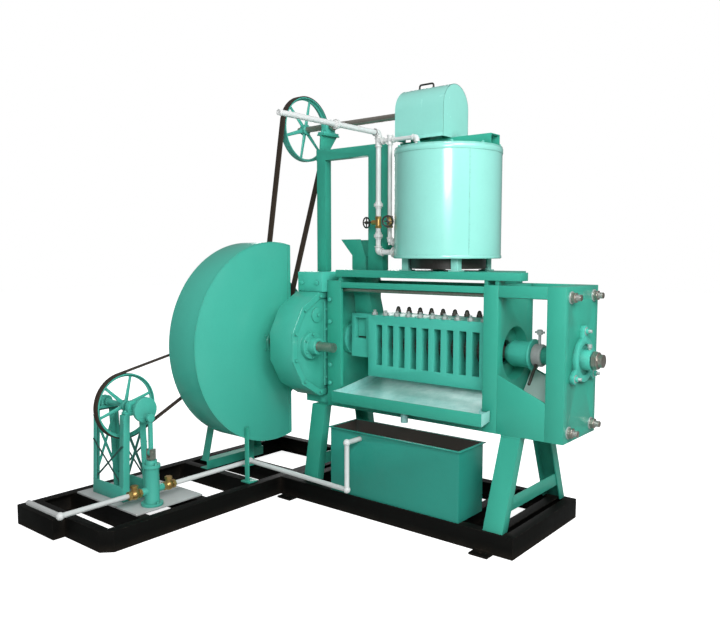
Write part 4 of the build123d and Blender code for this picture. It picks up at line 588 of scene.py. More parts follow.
# a turned part: one ring of points drawn out and sized step by step along its axis
def makeTurned(rings, start, way, count=64, closed=False, smooth=35.0):
    deselectAll()
    firstAlong, firstRadius = rings[0]
    fill = "NOTHING" if closed or firstRadius < thinnest else "NGON"
    along, radius = firstAlong, max(firstRadius, thinnest)
    bpy.ops.mesh.primitive_circle_add(vertices=count, radius=radius, fill_type=fill, location=(0, 0, 0))
    obj = bpy.context.active_object
    editAll()
    bpy.ops.transform.translate(value=(0, 0, firstAlong))
    draw = bpy.ops.mesh.extrude_region_move if fill == "NGON" else bpy.ops.mesh.extrude_edges_move
    for nextAlong, nextRadius in rings[1:]:
        nextRadius = max(nextRadius, thinnest)
        draw(TRANSFORM_OT_translate={"value": (0, 0, nextAlong - along)})
        ratio = nextRadius / radius
        bpy.ops.transform.resize(value=(ratio, ratio, 1.0), center_override=(0, 0, nextAlong))
        along, radius = nextAlong, nextRadius
    if closed:
        bpy.ops.mesh.extrude_edges_move(TRANSFORM_OT_translate={"value": (0, 0, firstAlong - along)})
        ratio = firstRadius / radius
        bpy.ops.transform.resize(value=(ratio, ratio, 1.0), center_override=(0, 0, firstAlong))
        bpy.ops.mesh.select_all(action="SELECT")
        bpy.ops.mesh.remove_doubles(threshold=0.00002)
    elif fill == "NOTHING":
        bpy.ops.mesh.select_all(action="SELECT")
        bpy.ops.mesh.remove_doubles(threshold=0.0003)
    bpy.ops.mesh.select_all(action="SELECT")
    bpy.ops.mesh.normals_make_consistent(inside=False)
    leaveEdit()
    obj.rotation_mode = "QUATERNION"
    obj.rotation_quaternion = Vector(way).to_track_quat("Z", "Y")
    obj.location = start
    settle(obj)
    smoothFaces(obj, smooth)
    return obj


# a pipe run: a ring drawn along straight runs and spun round each bend
def makePipe(points, radius, bend, count=20, steps=8):
    deselectAll()
    points = [Vector(p) for p in points]
    firstWay = (points[1] - points[0]).normalized()
    bpy.ops.mesh.primitive_circle_add(vertices=count, radius=radius, fill_type="NGON")
    obj = bpy.context.active_object
    obj.rotation_mode = "QUATERNION"
    obj.rotation_quaternion = firstWay.to_track_quat("Z", "Y")
    obj.location = points[0]
    settle(obj)
    editAll()
    here = points[0]
    for number in range(1, len(points)):
        way = (points[number] - points[number - 1]).normalized()
        if number == len(points) - 1:
            bpy.ops.mesh.extrude_region_move(TRANSFORM_OT_translate={"value": points[number] - here})
            break
        nextWay = (points[number + 1] - points[number]).normalized()
        angle = way.angle(nextWay)
        back = bend * math.tan(angle / 2)
        corner = points[number] - way * back
        bpy.ops.mesh.extrude_region_move(TRANSFORM_OT_translate={"value": corner - here})
        axis = way.cross(nextWay).normalized()
        inward = axis.cross(way).normalized()
        centre = corner + inward * bend
        bpy.ops.mesh.spin(steps=steps, angle=-angle, center=centre, axis=axis)
        here = points[number] + nextWay * back
    leaveEdit()
    fixNormals(obj)
    smoothFaces(obj, 40)
    return obj


def makeBolt(place, way, across, height, count=6):
    foot, washerWide = height * 0.08, across * 0.62
    washer = makeTurned([(0.0, washerWide), (foot, washerWide)], place, way, 20)
    rings = [(foot, across * 0.5), (height * 0.85, across * 0.5), (height, across * 0.42)]
    head = makeTurned(rings, place, way, count, smooth=20)
    return joinPieces("bolt", [washer, head])


bodyOfNode = {node: body for body, names in record["behaviour"]["bodies"].items() for node in names}
alongX, alongY, alongZ = (1, 0, 0), (0, 1, 0), (0, 0, 1)


# a rounded-edge copy of a CAD node that then stands for it
def softCopy(nodeName, edge, finishName, segments=2, angle=40.0):
    source = nodes[nodeName]
    obj = source.copy()
    obj.data = source.data.copy()
    bpy.context.collection.objects.link(obj)
    obj.name = nodeName + "Finished"
    obj.hide_render = False
    pickOnly(obj)
    world = source.matrix_world.copy()
    obj.parent = None
    obj.matrix_world = world
    editAll()
    bpy.ops.mesh.remove_doubles(threshold=0.00002)
    bpy.ops.mesh.dissolve_limited(angle_limit=math.radians(0.5))
    leaveEdit()
    applyBevel(obj, edge, segments, angle)
    smoothFaces(obj, 35)
    giveFinish(obj, finishName)
    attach(obj, bodyOfNode[nodeName])
    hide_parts(nodeName)
    return obj


# kettle, lid and box guard
kettleLook = {
    "x": 0.554,
    "radius": 0.343,
    "bottom": 1.683,
    "top": 2.375,
    "wall": 0.006,
    "mouth": 0.05,
    "bandOut": 0.0035,
    "lowBand": (0.020, 0.018),
    "topBand": (0.006, 0.030),
    "legSize": 0.050,
    "legCircle": 0.262,
    "footRim": 0.012,
    "footThick": 0.008,
    "deckTop": 1.604,
    "seamAngle": -35.0,
    "seamRadius": 0.0025,
    "skirt": 0.250,
    "skirtLow": 1.618,
    "clamps": 10,
    "clampIn": 0.016,
}
outletLook = {
    "face": 0.199,
    "y": 0.035,
    "half": 0.045,
    "floor": 1.738,
    "height": 0.070,
    "lip": 0.010,
    "long": 0.070,
    "flange": 0.021,
}


# the kettle's outlet: two flange strips, then floor, roof and cheeks of the spout
def makeOutlet():
    look = outletLook
    face, y, half, lip, floor = (look[key] for key in ("face", "y", "half", "lip", "floor"))
    wide, roof, end = half + look["flange"], floor + look["height"], face + look["long"]
    boxes = (
        ((face, y - wide, floor - lip), (face + 0.008, y - half, roof + lip)),
        ((face, y + half, floor - lip), (face + 0.008, y + wide, roof + lip)),
        ((face, y - half - 0.004, floor - lip), (end, y + half + 0.004, floor)),
        ((face, y - half - 0.004, roof), (end, y + half + 0.004, roof + lip)),
        ((face, y - half - 0.006, floor - 0.004), (end, y - half, roof + 0.004)),
        ((face, y + half, floor - 0.004), (end, y + half + 0.006, roof + 0.004)),
    )
    return [makeBar(low, high, 0.001) for low, high in boxes]


def makeKettle():
    look = kettleLook
    r, low, wall, skirt = look["radius"], look["bottom"], look["wall"], look["skirt"]
    tall, start, deck = look["top"] - low, (look["x"], 0, low), look["deckTop"]
    rings = [
        (0.0, look["mouth"]),
        (0.0, r - 0.003),
        (0.003, r),
        (tall - 0.002, r),
        (tall, r - 0.002),
        (tall, r - wall),
        (wall, r - wall),
        (wall, look["mouth"]),
    ]
    parts = [makeTurned(rings, start, alongZ, 128, closed=True)]
    out = r + look["bandOut"]
    for height, wide in (look["lowBand"], (tall - look["topBand"][0], look["topBand"][1])):
        band = [
            (height - wide, r - 0.001),
            (height - wide, out - 0.001),
            (height - wide + 0.002, out),
            (height - 0.002, out),
            (height, out - 0.001),
            (height, r - 0.001),
        ]
        parts.append(makeTurned(band, start, alongZ, 128, closed=True))
    deep = low - look["skirtLow"]
    rings = [(0, skirt - wall), (0, skirt), (deep, skirt), (deep, skirt - wall)]
    ring = makeTurned(rings, (look["x"], 0, look["skirtLow"]), alongZ, 96, closed=True)
    # painted shade: the ring under the kettle is black, standing in for the shadow beneath the kettle
    ring.name = "kettleShadeSkirt"
    finishPiece(ring, "wheelPaint", "press_frame")
    angle = math.radians(look["seamAngle"])
    seamPlace = Vector((look["x"] + math.cos(angle) * r, math.sin(angle) * r, low + 0.02))
    seam = [(0, look["seamRadius"]), (tall - 0.06, look["seamRadius"])]
    parts.append(makeTurned(seam, seamPlace, alongZ, 8))
    half, foot = look["legSize"] / 2, look["legSize"] / 2 + look["footRim"]
    for step in range(4):
        turn = math.radians(45 + 90 * step)
        x = look["x"] + look["legCircle"] * math.cos(turn)
        y = look["legCircle"] * math.sin(turn)
        parts.append(makeBar((x - half, y - half, deck), (x + half, y + half, low + 0.001), 0.004))
        top = deck + look["footThick"]
        parts.append(makeBar((x - foot, y - foot, deck), (x + foot, y + foot, top), 0.002))
    kettle = joinPieces("kettleJacket", parts + makeOutlet())
    finishPiece(kettle, "kettlePaintLit", "press_frame", "kettle_shell")


def makeLid():
    look = kettleLook
    softCopy("kettle_lid", 0.0012, "kettlePaintLit")
    clamps = []
    reach = look["radius"] - look["clampIn"]
    for step in range(look["clamps"]):
        turn = math.radians(18 + 360 / look["clamps"] * step)
        # none where the lid's beam lies
        if abs(math.sin(turn)) < 0.25:
            continue
        place = (look["x"] + reach * math.cos(turn), reach * math.sin(turn), look["top"] + 0.005)
        clamps.append(makeBolt(place, alongZ, 0.020, 0.012))
    bolts = joinPieces("lidBolts", clamps)
    finishPiece(bolts, "castPaint", "press_frame")


boxGuardLook = {
    "x0": 0.240,
    "x1": 0.610,
    "half": 0.148,
    "bottom": 2.442,
    "axis": 2.631,
    "sheet": 0.003,
    "slot": 0.030,
    "trimHigh": 0.022,
    "handleRadius": 0.006,
    "handleHalf": 0.054,
    "handleHigh": 0.030,
    "handleBack": 0.040,
    "handleBend": 0.014,
}


# the bent sheet: a ring whose lower half is straightened into two flat sides, open below
def makeGuardSheet():
    look = boxGuardLook
    radius, deep = look["half"] - look["sheet"] / 2, look["axis"] - look["bottom"]
    deselectAll()
    bpy.ops.mesh.primitive_circle_add(vertices=96, radius=radius, fill_type="NOTHING")
    sheet = bpy.context.active_object
    editAll()
    for axis in ("X", "Z"):
        bpy.ops.transform.rotate(value=math.radians(90), orient_axis=axis, center_override=(0, 0, 0))
    leaveEdit()
    for vertex in sheet.data.vertices:
        if vertex.co.z < thinnest:
            vertex.co.z *= deep / radius
            vertex.co.y = radius if vertex.co.y > 0 else -radius
    bpy.ops.object.mode_set(mode="EDIT")
    bpy.ops.mesh.select_mode(type="EDGE")
    bpy.ops.mesh.select_all(action="DESELECT")
    leaveEdit()
    for edge in sheet.data.edges:
        a, b = (sheet.data.vertices[i].co for i in edge.vertices)
        edge.select = abs(a.y - b.y) > look["half"]
    bpy.ops.object.mode_set(mode="EDIT")
    bpy.ops.mesh.delete(type="EDGE")
    bpy.ops.mesh.select_all(action="SELECT")
    bpy.ops.mesh.extrude_edges_move(TRANSFORM_OT_translate={"value": (look["x1"] - look["x0"], 0, 0)})
    leaveEdit()
    sheet.location = (look["x0"], 0, look["axis"])
    settle(sheet)
    fixNormals(sheet)
    applyModifier(sheet, "SOLIDIFY", thickness=look["sheet"], offset=0)
    return sheet


def makeGuardEnd(x, slotted):
    look = boxGuardLook
    thick, slot, low, axis = look["sheet"], look["slot"], look["bottom"], look["axis"]
    inside = look["half"] - 0.0005
    plate = makeTurned([(0, inside), (thick, inside)], (x, 0, axis), alongX, 96)
    applyBoolean(plate, makeBar((x, -inside, low), (x + thick, inside, axis), 0), "UNION")
    if slotted:
        applyBoolean(plate, makeTurned([(-0.01, slot), (0.02, slot)], (x, 0, axis), alongX, 32))
        applyBoolean(plate, makeBar((x - 0.01, -slot, low - 0.01), (x + 0.02, slot, axis), 0))
    return plate


def makeBoxGuard():
    look = boxGuardLook
    half, x0, x1, low = look["half"], look["x0"], look["x1"], look["bottom"]
    parts = [makeGuardSheet(), makeGuardEnd(x0, True), makeGuardEnd(x1 - look["sheet"], False)]
    for y in (-half - 0.001, half - 0.002):
        parts.append(makeBar((x0, y, low), (x1, y + 0.003, low + look["trimHigh"]), 0.001))
    guard = joinPieces("boxGuardCover", parts)
    smoothFaces(guard, 30)
    finishPiece(guard, "kettlePaintLit", "guard_box", "box_guard")
    middle = (x0 + x1) / 2 - look["handleBack"]
    top, grip, rise = look["axis"] + half, look["handleHalf"], look["handleHigh"]
    corners = ((-grip, -0.004), (-grip, rise), (grip, rise), (grip, -0.004))
    bow = [(middle + side, 0, top + up) for side, up in corners]
    parts = [makePipe(bow, look["handleRadius"], look["handleBend"], 14)]
    for side in (-grip, grip):
        foot = [(0, 0.013), (0.003, 0.013), (0.006, 0.009)]
        parts.append(makeTurned(foot, (middle + side, 0, top - 0.001), alongZ, 20))
    finishPiece(joinPieces("boxGuardHandle", parts), "wheelPaint", "guard_box")


# belt guard
guardLook = {
    "y": -0.3843,
    "z": 1.084,
    "radius": 0.710,
    "face": -0.656,
    "back": -0.929,
    "sheet": 0.004,
    "cut": 0.168,
    "hole": 0.058,
    "backRim": 0.045,
    "strip": 0.026,
    "boltCircle": 0.10,
    "slotX": -0.745,
    "slotY": (-0.045, 0.069),
    "slotZ": (0.60, 0.76),
}


def makeBeltGuard():
    look = guardLook
    r, sheet, hole, y, z, face = (look[key] for key in ("radius", "sheet", "hole", "y", "z", "face"))
    centre, cutY, deep, backRim = (face, y, z), y + look["cut"], face - look["back"], r - look["backRim"]
    rings = [
        (0.0, hole),
        (0.0, r - 0.004),
        (-0.0012, r - 0.0012),
        (-0.004, r),
        (-deep + 0.001, r),
        (-deep, r - 0.001),
        (-deep, backRim),
        (-deep + sheet, backRim),
        (-deep + sheet, r - sheet),
        (-sheet, r - sheet),
        (-sheet, hole),
    ]
    drum = makeTurned(rings, centre, alongX, 160, closed=True)
    cutAtY(drum, cutY)
    slotLow = (look["slotX"], y + look["slotY"][0], z + look["slotZ"][0])
    slotHigh = (face - sheet, y + look["slotY"][1], z + look["slotZ"][1])
    applyBoolean(drum, makeBar(slotLow, slotHigh, 0))
    fixNormals(drum)
    smoothFaces(drum, 25)
    chord = math.sqrt(r * r - look["cut"] ** 2) - 0.006
    strips = []
    for low, high in ((0.10, chord), (-chord, -0.10)):
        stripLow = (face - 0.001, cutY - look["strip"], z + low)
        strips.append(makeBar(stripLow, (face + 0.003, cutY, z + high), 0.001))
    rings = [
        (-0.004, r - 0.002),
        (-0.0045, r + 0.0025),
        (-0.002, r + 0.004),
        (0.0015, r + 0.0025),
        (0.001, r - 0.002),
    ]
    rim = makeTurned(rings, centre, alongX, 160, closed=True)
    cutAtY(rim, cutY)
    rings = [(0, 0), (0.004, 0), (0.006, 0.003), (0.006, 0.018), (0.004, 0.02), (0, 0.02)]
    collar = makeTurned([(along, hole + out) for along, out in rings], centre, alongX, 48, closed=True)
    bolts = []
    for step in range(6):
        turn, reach = math.radians(60 * step + 30), look["boltCircle"]
        place = (face, y + reach * math.cos(turn), z + reach * math.sin(turn))
        bolts.append(makeBolt(place, alongX, 0.016, 0.009))
    guard = joinPieces("beltGuardDrum", [drum, rim, collar] + strips + bolts)
    finishPiece(guard, "guardPaint", "press_frame", "belt_guard")


# pulleys and belts: place, radius, face, hub, bore and body of each pulley
pulleyLooks = {
    "top_pulley": {
        "place": (-0.700, 0.0, 2.631), "radius": 0.234, "face": 0.056,
        "hub": 0.038, "bore": 0.022, "body": "line_drive",
    },
    "pump_pulley": {
        "place": (-1.000, -1.390, 0.737), "radius": 0.209, "face": 0.046,
        "hub": 0.034, "bore": 0.017, "body": "pump_crank",
    },
    "main_pulley": {
        "place": (-0.835, -0.3843, 1.084), "radius": 0.500, "face": 0.150,
        "hub": 0.075, "bore": 0.034, "body": "drive_train",
    },
}
castLook = {
    "paint": "pumpPaint",
    "wall": 0.009,
    "crown": 0.0015,
    "spokes": 6,
    "spokeTurn": 0.3,
    "spokeWide": 0.42,
    "spokeThick": 0.14,
    "spokeSteps": 6,
    "taper": 0.93,
    "flare": 1.12,
}


def makeSpoke(look, turn):
    cast = castLook
    wide, steps, begin = look["hub"] * cast["spokeWide"], cast["spokeSteps"], look["hub"] * 0.8
    stride = (look["radius"] - cast["wall"] - 0.004 - begin) / steps
    deselectAll()
    bpy.ops.mesh.primitive_circle_add(vertices=16, radius=wide, fill_type="NGON")
    arm = bpy.context.active_object
    editAll()
    bpy.ops.transform.resize(value=(look["face"] * cast["spokeThick"] / wide, 1, 1))
    bpy.ops.transform.translate(value=(0, 0, begin))
    for step in range(steps):
        bpy.ops.mesh.extrude_region_move(TRANSFORM_OT_translate={"value": (0, 0, stride)})
        shrink = cast["taper"] if step < steps - 1 else cast["flare"]
        bpy.ops.transform.resize(value=(shrink, shrink, 1))
    leaveEdit()
    arm.rotation_euler = (turn - math.pi / 2, 0, 0)
    arm.location = look["place"]
    settle(arm)
    fixNormals(arm)
    smoothFaces(arm, 50)
    return arm


def makeSpokedPulley(nodeName, look):
    cast = castLook
    r, face, hub, bore = (look[key] for key in ("radius", "face", "hub", "bore"))
    x, y, z = look["place"]
    inner, edge = r - cast["wall"], r - cast["crown"]
    rings = [
        (0.0, inner),
        (0.0, edge - 0.001),
        (0.001, edge),
        (face * 0.5, r),
        (face - 0.001, edge),
        (face, edge - 0.001),
        (face, inner),
        (face * 0.62, inner - 0.001),
        (face * 0.56, inner - 0.012),
        (face * 0.44, inner - 0.012),
        (face * 0.38, inner - 0.001),
    ]
    parts = [makeTurned(rings, (x - face / 2, y, z), alongX, 96, closed=True)]
    long = face * 0.9
    rings = [(0, bore), (0, hub - 0.004), (0.004, hub), (long - 0.004, hub), (long, hub - 0.004), (long, bore)]
    parts.append(makeTurned(rings, (x - long / 2, y, z), alongX, 48, closed=True))
    for number in range(cast["spokes"]):
        parts.append(makeSpoke(look, 2 * math.pi * number / cast["spokes"] + cast["spokeTurn"]))
    pulley = joinPieces(nodeName + "Cast", parts)
    finishPiece(pulley, cast["paint"], look["body"], nodeName)


def makeBelts():
    for nodeName in ("kettle_belt", "pump_belt"):
        belt = softCopy(nodeName, 0.0012, "beltCloth", 2, 60)


# plain pieces: each takes its CAD form with softened edges
softTable = {
    "main_skid": (0.0030, "skidPaint"),
    "pump_skid": (0.0030, "skidPaint"),
    "leg_frames": (0.0025, "framePaint"),
    "feed_end_frame": (0.0030, "framePaint"),
    "chamber_end_plate": (0.0030, "framePaint"),
    "end_frame": (0.0030, "framePaint"),
    "side_rails": (0.0020, "framePaint"),
    "feed_throat": (0.0030, "castPaint"),
    "cage_front_half": (0.0022, "castPaint"),
    "cage_rear_half": (0.0022, "castPaint"),
    "worm_bearings": (0.0025, "castPaint"),
    "gear_case": (0.0030, "castPaint"),
    "gear_cover": (0.0035, "guardPaint"),
    "guard_supports": (0.0020, "framePaint"),
    "plummer_blocks": (0.0020, "castPaint"),
    "mast_portal": (0.0025, "framePaint"),
    "deck_frame": (0.0025, "framePaint"),
    "hopper": (0.0010, "framePaint"),
    "lid_beam": (0.0020, "framePaint"),
    "kettle_chute": (0.0010, "framePaint"),
    "pump_base_plates": (0.0015, "platePaint"),
    "pump_cylinder": (0.0020, "pumpPaint"),
    "pump_pipework": (0.0010, "pipePaint"),
    "pump_crankshaft": (0.0020, "pumpPaint"),
    "connecting_rod": (0.0020, "pumpPaint"),
    "choke_cone": (0.0025, "castPaint"),
    "inlet_handwheel": (0.0010, "wheelPaint"),
    "bypass_handwheel": (0.0010, "wheelPaint"),
    "housing_bolts": (0.0012, "castPaint"),
}


def makeSoftPieces():
    for nodeName, (edge, finish) in softTable.items():
        softCopy(nodeName, edge, finish)


trayLook = {"lipY": -0.3255, "high": 0.73}


# the tray is bare above and painted on its front and below
def makeTray():
    tray = softCopy("oil_tray", 0.0010, "traySheet")
    tray.data.materials.append(finishes["framePaint"])
    for face in tray.data.polygons:
        outside = face.center.y < trayLook["lipY"] and face.normal.y < 0.3
        underside = face.normal.z < -0.6 and face.center.z < trayLook["high"]
        if outside or underside:
            face.material_index = 1


# the tank is bare and oily on the inside
def makeOilTank():
    tank = softCopy("oil_tank", 0.0015, "tankPaint")
    tank.data.materials.append(finishes["tankInside"])
    spots = [vert.co for vert in tank.data.vertices]
    middle = [sum(spot[i] for spot in spots) / len(spots) for i in range(3)]
    top = max(spot.z for spot in spots)
    for face in tank.data.polygons:
        away = (face.center.x - middle[0]) * face.normal.x + (face.center.y - middle[1]) * face.normal.y
        floorFace = face.normal.z > 0.9 and face.center.z < top - 0.10
        if floorFace or (abs(face.normal.z) < 0.3 and away < -0.05):
            face.material_index = 1


braceLook = {"leg": 0.052, "taper": 0.030, "toe": 0.100, "top": 0.050, "area": 0.012}


# the pump stand's thin cross braces are darker than its legs
def makePumpStand():
    look = braceLook
    stand = softCopy("pump_stand", 0.0015, "pumpPaint")
    stand.data.materials.append(finishes["bracePaint"])
    spots = [vert.co for vert in stand.data.vertices]
    low = [min(spot[i] for spot in spots) for i in range(3)]
    high = [max(spot[i] for spot in spots) for i in range(3)]
    for face in stand.data.polygons:
        spot = face.center
        nearX = min(spot.x - low[0], high[0] - spot.x) < look["leg"]
        nearY = min(spot.y - low[1], high[1] - spot.y) < look["leg"] + look["taper"]
        between = low[2] + look["toe"] < spot.z < high[2] - look["top"]
        if between and face.area < look["area"] and not (nearX and nearY):
            face.material_index = 1


# turns a finished piece about the X axis through a place
def turnAboutX(obj, place, angle):
    there = Matrix.Translation(Vector(place))
    obj.matrix_world = there @ Matrix.Rotation(angle, 4, "X") @ there.inverted() @ obj.matrix_world
    settle(obj)


coverLook = {
    "front": -0.310,
    "y": -0.199,
    "z": 1.084,
    "cut": -0.1995,
    "flat": 0.364,
    "sides": 12,
    "lip": 0.046,
    "lipRise": 0.014,
    "shaftY": -0.3843,
    "boss": 0.0325,
    "bossCircle": 0.078,
    "ribHalf": 0.300,
    "ribBolts": (-0.24, -0.10, 0.10, 0.24),
    "door": (-0.110, 0.205),
}


def makeCoverTrim():
    look = coverLook
    centre = (look["front"], look["y"], look["z"])
    corner = 1 / math.cos(math.pi / look["sides"])
    outer = look["flat"] * corner - 0.001
    inner = (look["flat"] - look["lip"]) * corner
    rise = look["lipRise"]
    rings = [
        (-0.001, outer),
        (rise - 0.003, outer),
        (rise, outer - 0.003),
        (rise, inner + 0.004),
        (rise - 0.004, inner),
        (-0.001, inner),
    ]
    lip = makeTurned(rings, centre, alongX, look["sides"], closed=True, smooth=12)
    first = max(lip.data.vertices, key=lambda v: (v.co.y - look["y"]) ** 2 + (v.co.z - look["z"]) ** 2).co
    angle = math.atan2(first.z - look["z"], first.y - look["y"])
    turnAboutX(lip, centre, math.pi / look["sides"] - angle)
    parts = [lip]
    for step in range(look["sides"]):
        turn = math.pi / look["sides"] * (2 * step + 1)
        reach = (look["flat"] - look["lip"] * 0.5) * corner - 0.006
        y = look["y"] + reach * math.cos(turn)
        z = look["z"] + reach * math.sin(turn)
        if y < look["cut"] - 0.03:
            parts.append(makeBolt((look["front"] + rise, y, z), alongX, 0.022, 0.014))
    front, cut, middle = look["front"], look["cut"], look["z"]
    for step in range(6):
        turn = math.radians(60 * step + 30)
        y = look["shaftY"] + look["bossCircle"] * math.cos(turn)
        z = middle + look["bossCircle"] * math.sin(turn)
        parts.append(makeBolt((front + look["boss"], y, z), alongX, 0.016, 0.010))
    low = (front - 0.001, cut - 0.040, middle - look["ribHalf"])
    high = (front + 0.010, cut - 0.004, middle + look["ribHalf"])
    parts.append(makeBar(low, high, 0.003))
    for rise in look["ribBolts"]:
        parts.append(makeBolt((front + 0.010, cut - 0.022, middle + rise), alongX, 0.018, 0.011))
    spotY, spotZ = look["y"] + look["door"][0], middle + look["door"][1]
    door = [(-0.001, 0.052), (0.007, 0.052), (0.009, 0.049), (0.009, 0.0)]
    parts.append(makeTurned(door, (front, spotY, spotZ), alongX, 40))
    parts.append(makeBolt((front + 0.009, spotY, spotZ), alongX, 0.020, 0.014))
    trim = joinPieces("gearCoverTrim", parts)
    cutAtY(trim, look["cut"])
    finishPiece(trim, "guardPaint", "press_frame")


studLook = {
    "first": 0.021,
    "pitch": 0.0936,
    "count": 10,
    "y": 0.1355,
    "z": 1.300,
    "radius": 0.011,
    "height": 0.036,
    "across": 0.034,
    "washer": 0.0035,
    "nut": 0.016,
}


def makeThread(place, way, radius, length, pitch=0.0036, count=20):
    rings = [(0.0, radius * 0.90)]
    turns = max(2, int(length / pitch))
    for step in range(turns):
        along = step * pitch
        rings.append((along + pitch * 0.45, radius))
        rings.append((along + pitch * 0.55, radius))
        rings.append((along + pitch, radius * 0.88))
    rings.append((turns * pitch + radius * 0.15, radius * 0.72))
    return makeTurned(rings, place, way, count, smooth=25)


def makeNut(place, way, across, thick):
    r = across / math.sqrt(3)
    rings = [(0, r * 0.90), (thick * 0.10, r), (thick * 0.90, r), (thick, r * 0.90)]
    return makeTurned(rings, place, way, 6, smooth=10)


def makeCageStuds():
    look = studLook
    front, back = [], []
    nutAt = look["washer"]
    endAt = nutAt + look["nut"]
    for step in range(look["count"]):
        x = look["first"] + look["pitch"] * (step + 0.5)
        for side, group in ((-1, front), (1, back)):
            y, z = side * look["y"], look["z"]
            washer = [(-0.0005, 0.021), (0.003, 0.021), (nutAt, 0.0205)]
            group.append(makeTurned(washer, (x, y, z), alongZ, 24))
            group.append(makeNut((x, y, z + nutAt), alongZ, look["across"], look["nut"]))
            if side < 0:
                group.append(makeThread((x, y, z + endAt), alongZ, look["radius"], look["height"] - endAt))
            else:
                dome = [(0, 0.0155), (0.010, 0.0150), (0.019, 0.0115), (0.024, 0.006), (0.0255, 0.0)]
                group.append(makeTurned(dome, (x, y, z + endAt), alongZ, 20))
    # the back row's dark oiled finish is partly painted shade for the shadow that row sits in; the front row is
    # bright zinc
    for name, group, finish in (("cageStudsFront", front, "zincSheet"), ("cageStudsBack", back, "oiledSteel")):
        finishPiece(joinPieces(name, group), finish, "press_frame", "cage_bolts")


rodLook = {
    "y": 0.160,
    "heights": (0.706, 1.470),
    "radius": 0.0186,
    "face": 1.472,
    "nutThick": 0.030,
    "out": 0.056,
}


def makeTieRodEnds():
    look = rodLook
    softCopy("tie_rods", 0.0015, "shaftSteel")
    parts = []
    length = look["out"] - look["nutThick"]
    for y in (-look["y"], look["y"]):
        for z in look["heights"]:
            washer = [(0, 0.036), (0.005, 0.036), (0.006, 0.035)]
            parts.append(makeTurned(washer, (look["face"], y, z), alongX, 32))
            end = (look["face"] + look["nutThick"] + 0.0005, y, z)
            parts.append(makeThread(end, alongX, look["radius"], length, 0.005, 24))
    finishPiece(joinPieces("tieRodThreads", parts), "zincSheet", "press_frame")


endLook = {
    "front": 1.498,
    "z": 1.107,
    "hub": 1.542,
    "nut": (0.092, 0.026),
    "reach": 0.165,
    "boltTurns": (90, 215, 325),
    "cupAt": (0.022, 0.058),
}


def makeShaftEnd():
    look = endLook
    hub, front, middle = look["hub"], look["front"], look["z"]
    nut = makeNut((hub + 0.002, 0, middle), alongX, *look["nut"])
    rings = [(0, 0.050), (0.006, 0.050), (0.008, 0.048), (0.008, 0.040)]
    collar = makeTurned(rings, (hub + 0.0275, 0, middle), alongX, 40)
    finishPiece(joinPieces("wormShaftNut", [nut, collar]), "shaftSteel", "worm")
    parts = []
    for turn in look["boltTurns"]:
        y = look["reach"] * math.cos(math.radians(turn))
        z = middle + look["reach"] * math.sin(math.radians(turn))
        parts.append(makeThread((front + 0.015, y, z), alongX, 0.010, 0.020))
        washer = [(0, 0.023), (0.0015, 0.023), (0.002, 0.022)]
        parts.append(makeTurned(washer, (front - 0.0004, y, z), alongX, 28))
    cup = [
        (0, 0.009),
        (0.012, 0.009),
        (0.012, 0.014),
        (0.030, 0.014),
        (0.032, 0.012),
        (0.034, 0.004),
        (0.0345, 0.0),
    ]
    cupPlace = (front + look["cupAt"][0], 0, middle + look["cupAt"][1])
    parts.append(makeTurned(cup, cupPlace, alongZ, 24))
    finishPiece(joinPieces("endBearingBolts", parts), "zincSheet", "press_frame")


chokeLook = {
    "start": 1.184,
    "length": 0.058,
    "radius": 0.068,
    "bore": 0.05205,
    "z": 1.107,
    "up": 0.155,
    "down": 0.210,
    "turn": -40.0,
    "bar": 0.009,
    "grooves": 7,
    "grooveDeep": 0.004,
    "grip": 0.017,
}


def makeChokeNut():
    look = chokeLook
    r, long, bore, bar, up = (look[key] for key in ("radius", "length", "bore", "bar", "up"))
    rings = [(0, bore), (0, r - 0.006), (0.003, r - 0.003)]
    pitch = (long - 0.010) / look["grooves"]
    low = r - look["grooveDeep"]
    for step in range(look["grooves"]):
        along = 0.005 + step * pitch
        for share, radius in ((0, r), (0.45, r), (0.60, low), (0.85, low)):
            rings.append((along + pitch * share, radius))
    rings += [(long - 0.003, r - 0.003), (long, r - 0.006), (long, bore)]
    nut = makeTurned(rings, (look["start"], 0, look["z"]), alongX, 72, closed=True, smooth=28)
    centre, begin, grip = (look["start"] + long / 2, 0, look["z"]), r - 0.012, look["grip"]
    rings = [(begin, bar), (up - 0.030, bar), (up - 0.030, grip), (up - 0.002, grip), (up, 0.014)]
    handle = makeTurned(rings, centre, alongZ, 24)
    rings = [(-0.030, 0.0), (-0.030, 0.007), (0.030, 0.007), (0.030, 0.0)]
    cross = makeTurned(rings, (centre[0], 0, look["z"] + up - 0.016), alongX, 16)
    turn, end = math.radians(look["turn"]), look["down"]
    rings = [(begin, bar), (end - 0.004, bar), (end, bar - 0.003), (end, 0.0)]
    down = makeTurned(rings, centre, (0, math.sin(turn), -math.cos(turn)), 24)
    head = joinPieces("chokeRingNut", [nut, handle, cross])
    finishPiece(head, "platePaint", "choke_ring", "choke_nut")
    down.name = "chokeTommyBar"
    finishPiece(down, "oiledSteel", "choke_ring")


cakeLook = {
    "x": (1.062, 1.352),
    "top": (0.994, 0.863),
    "y": 0.2105,
    "reach": 0.125,
    "drop": 0.150,
    "sag": 0.012,
    "ripple": 0.004,
    "thick": 0.0025,
}


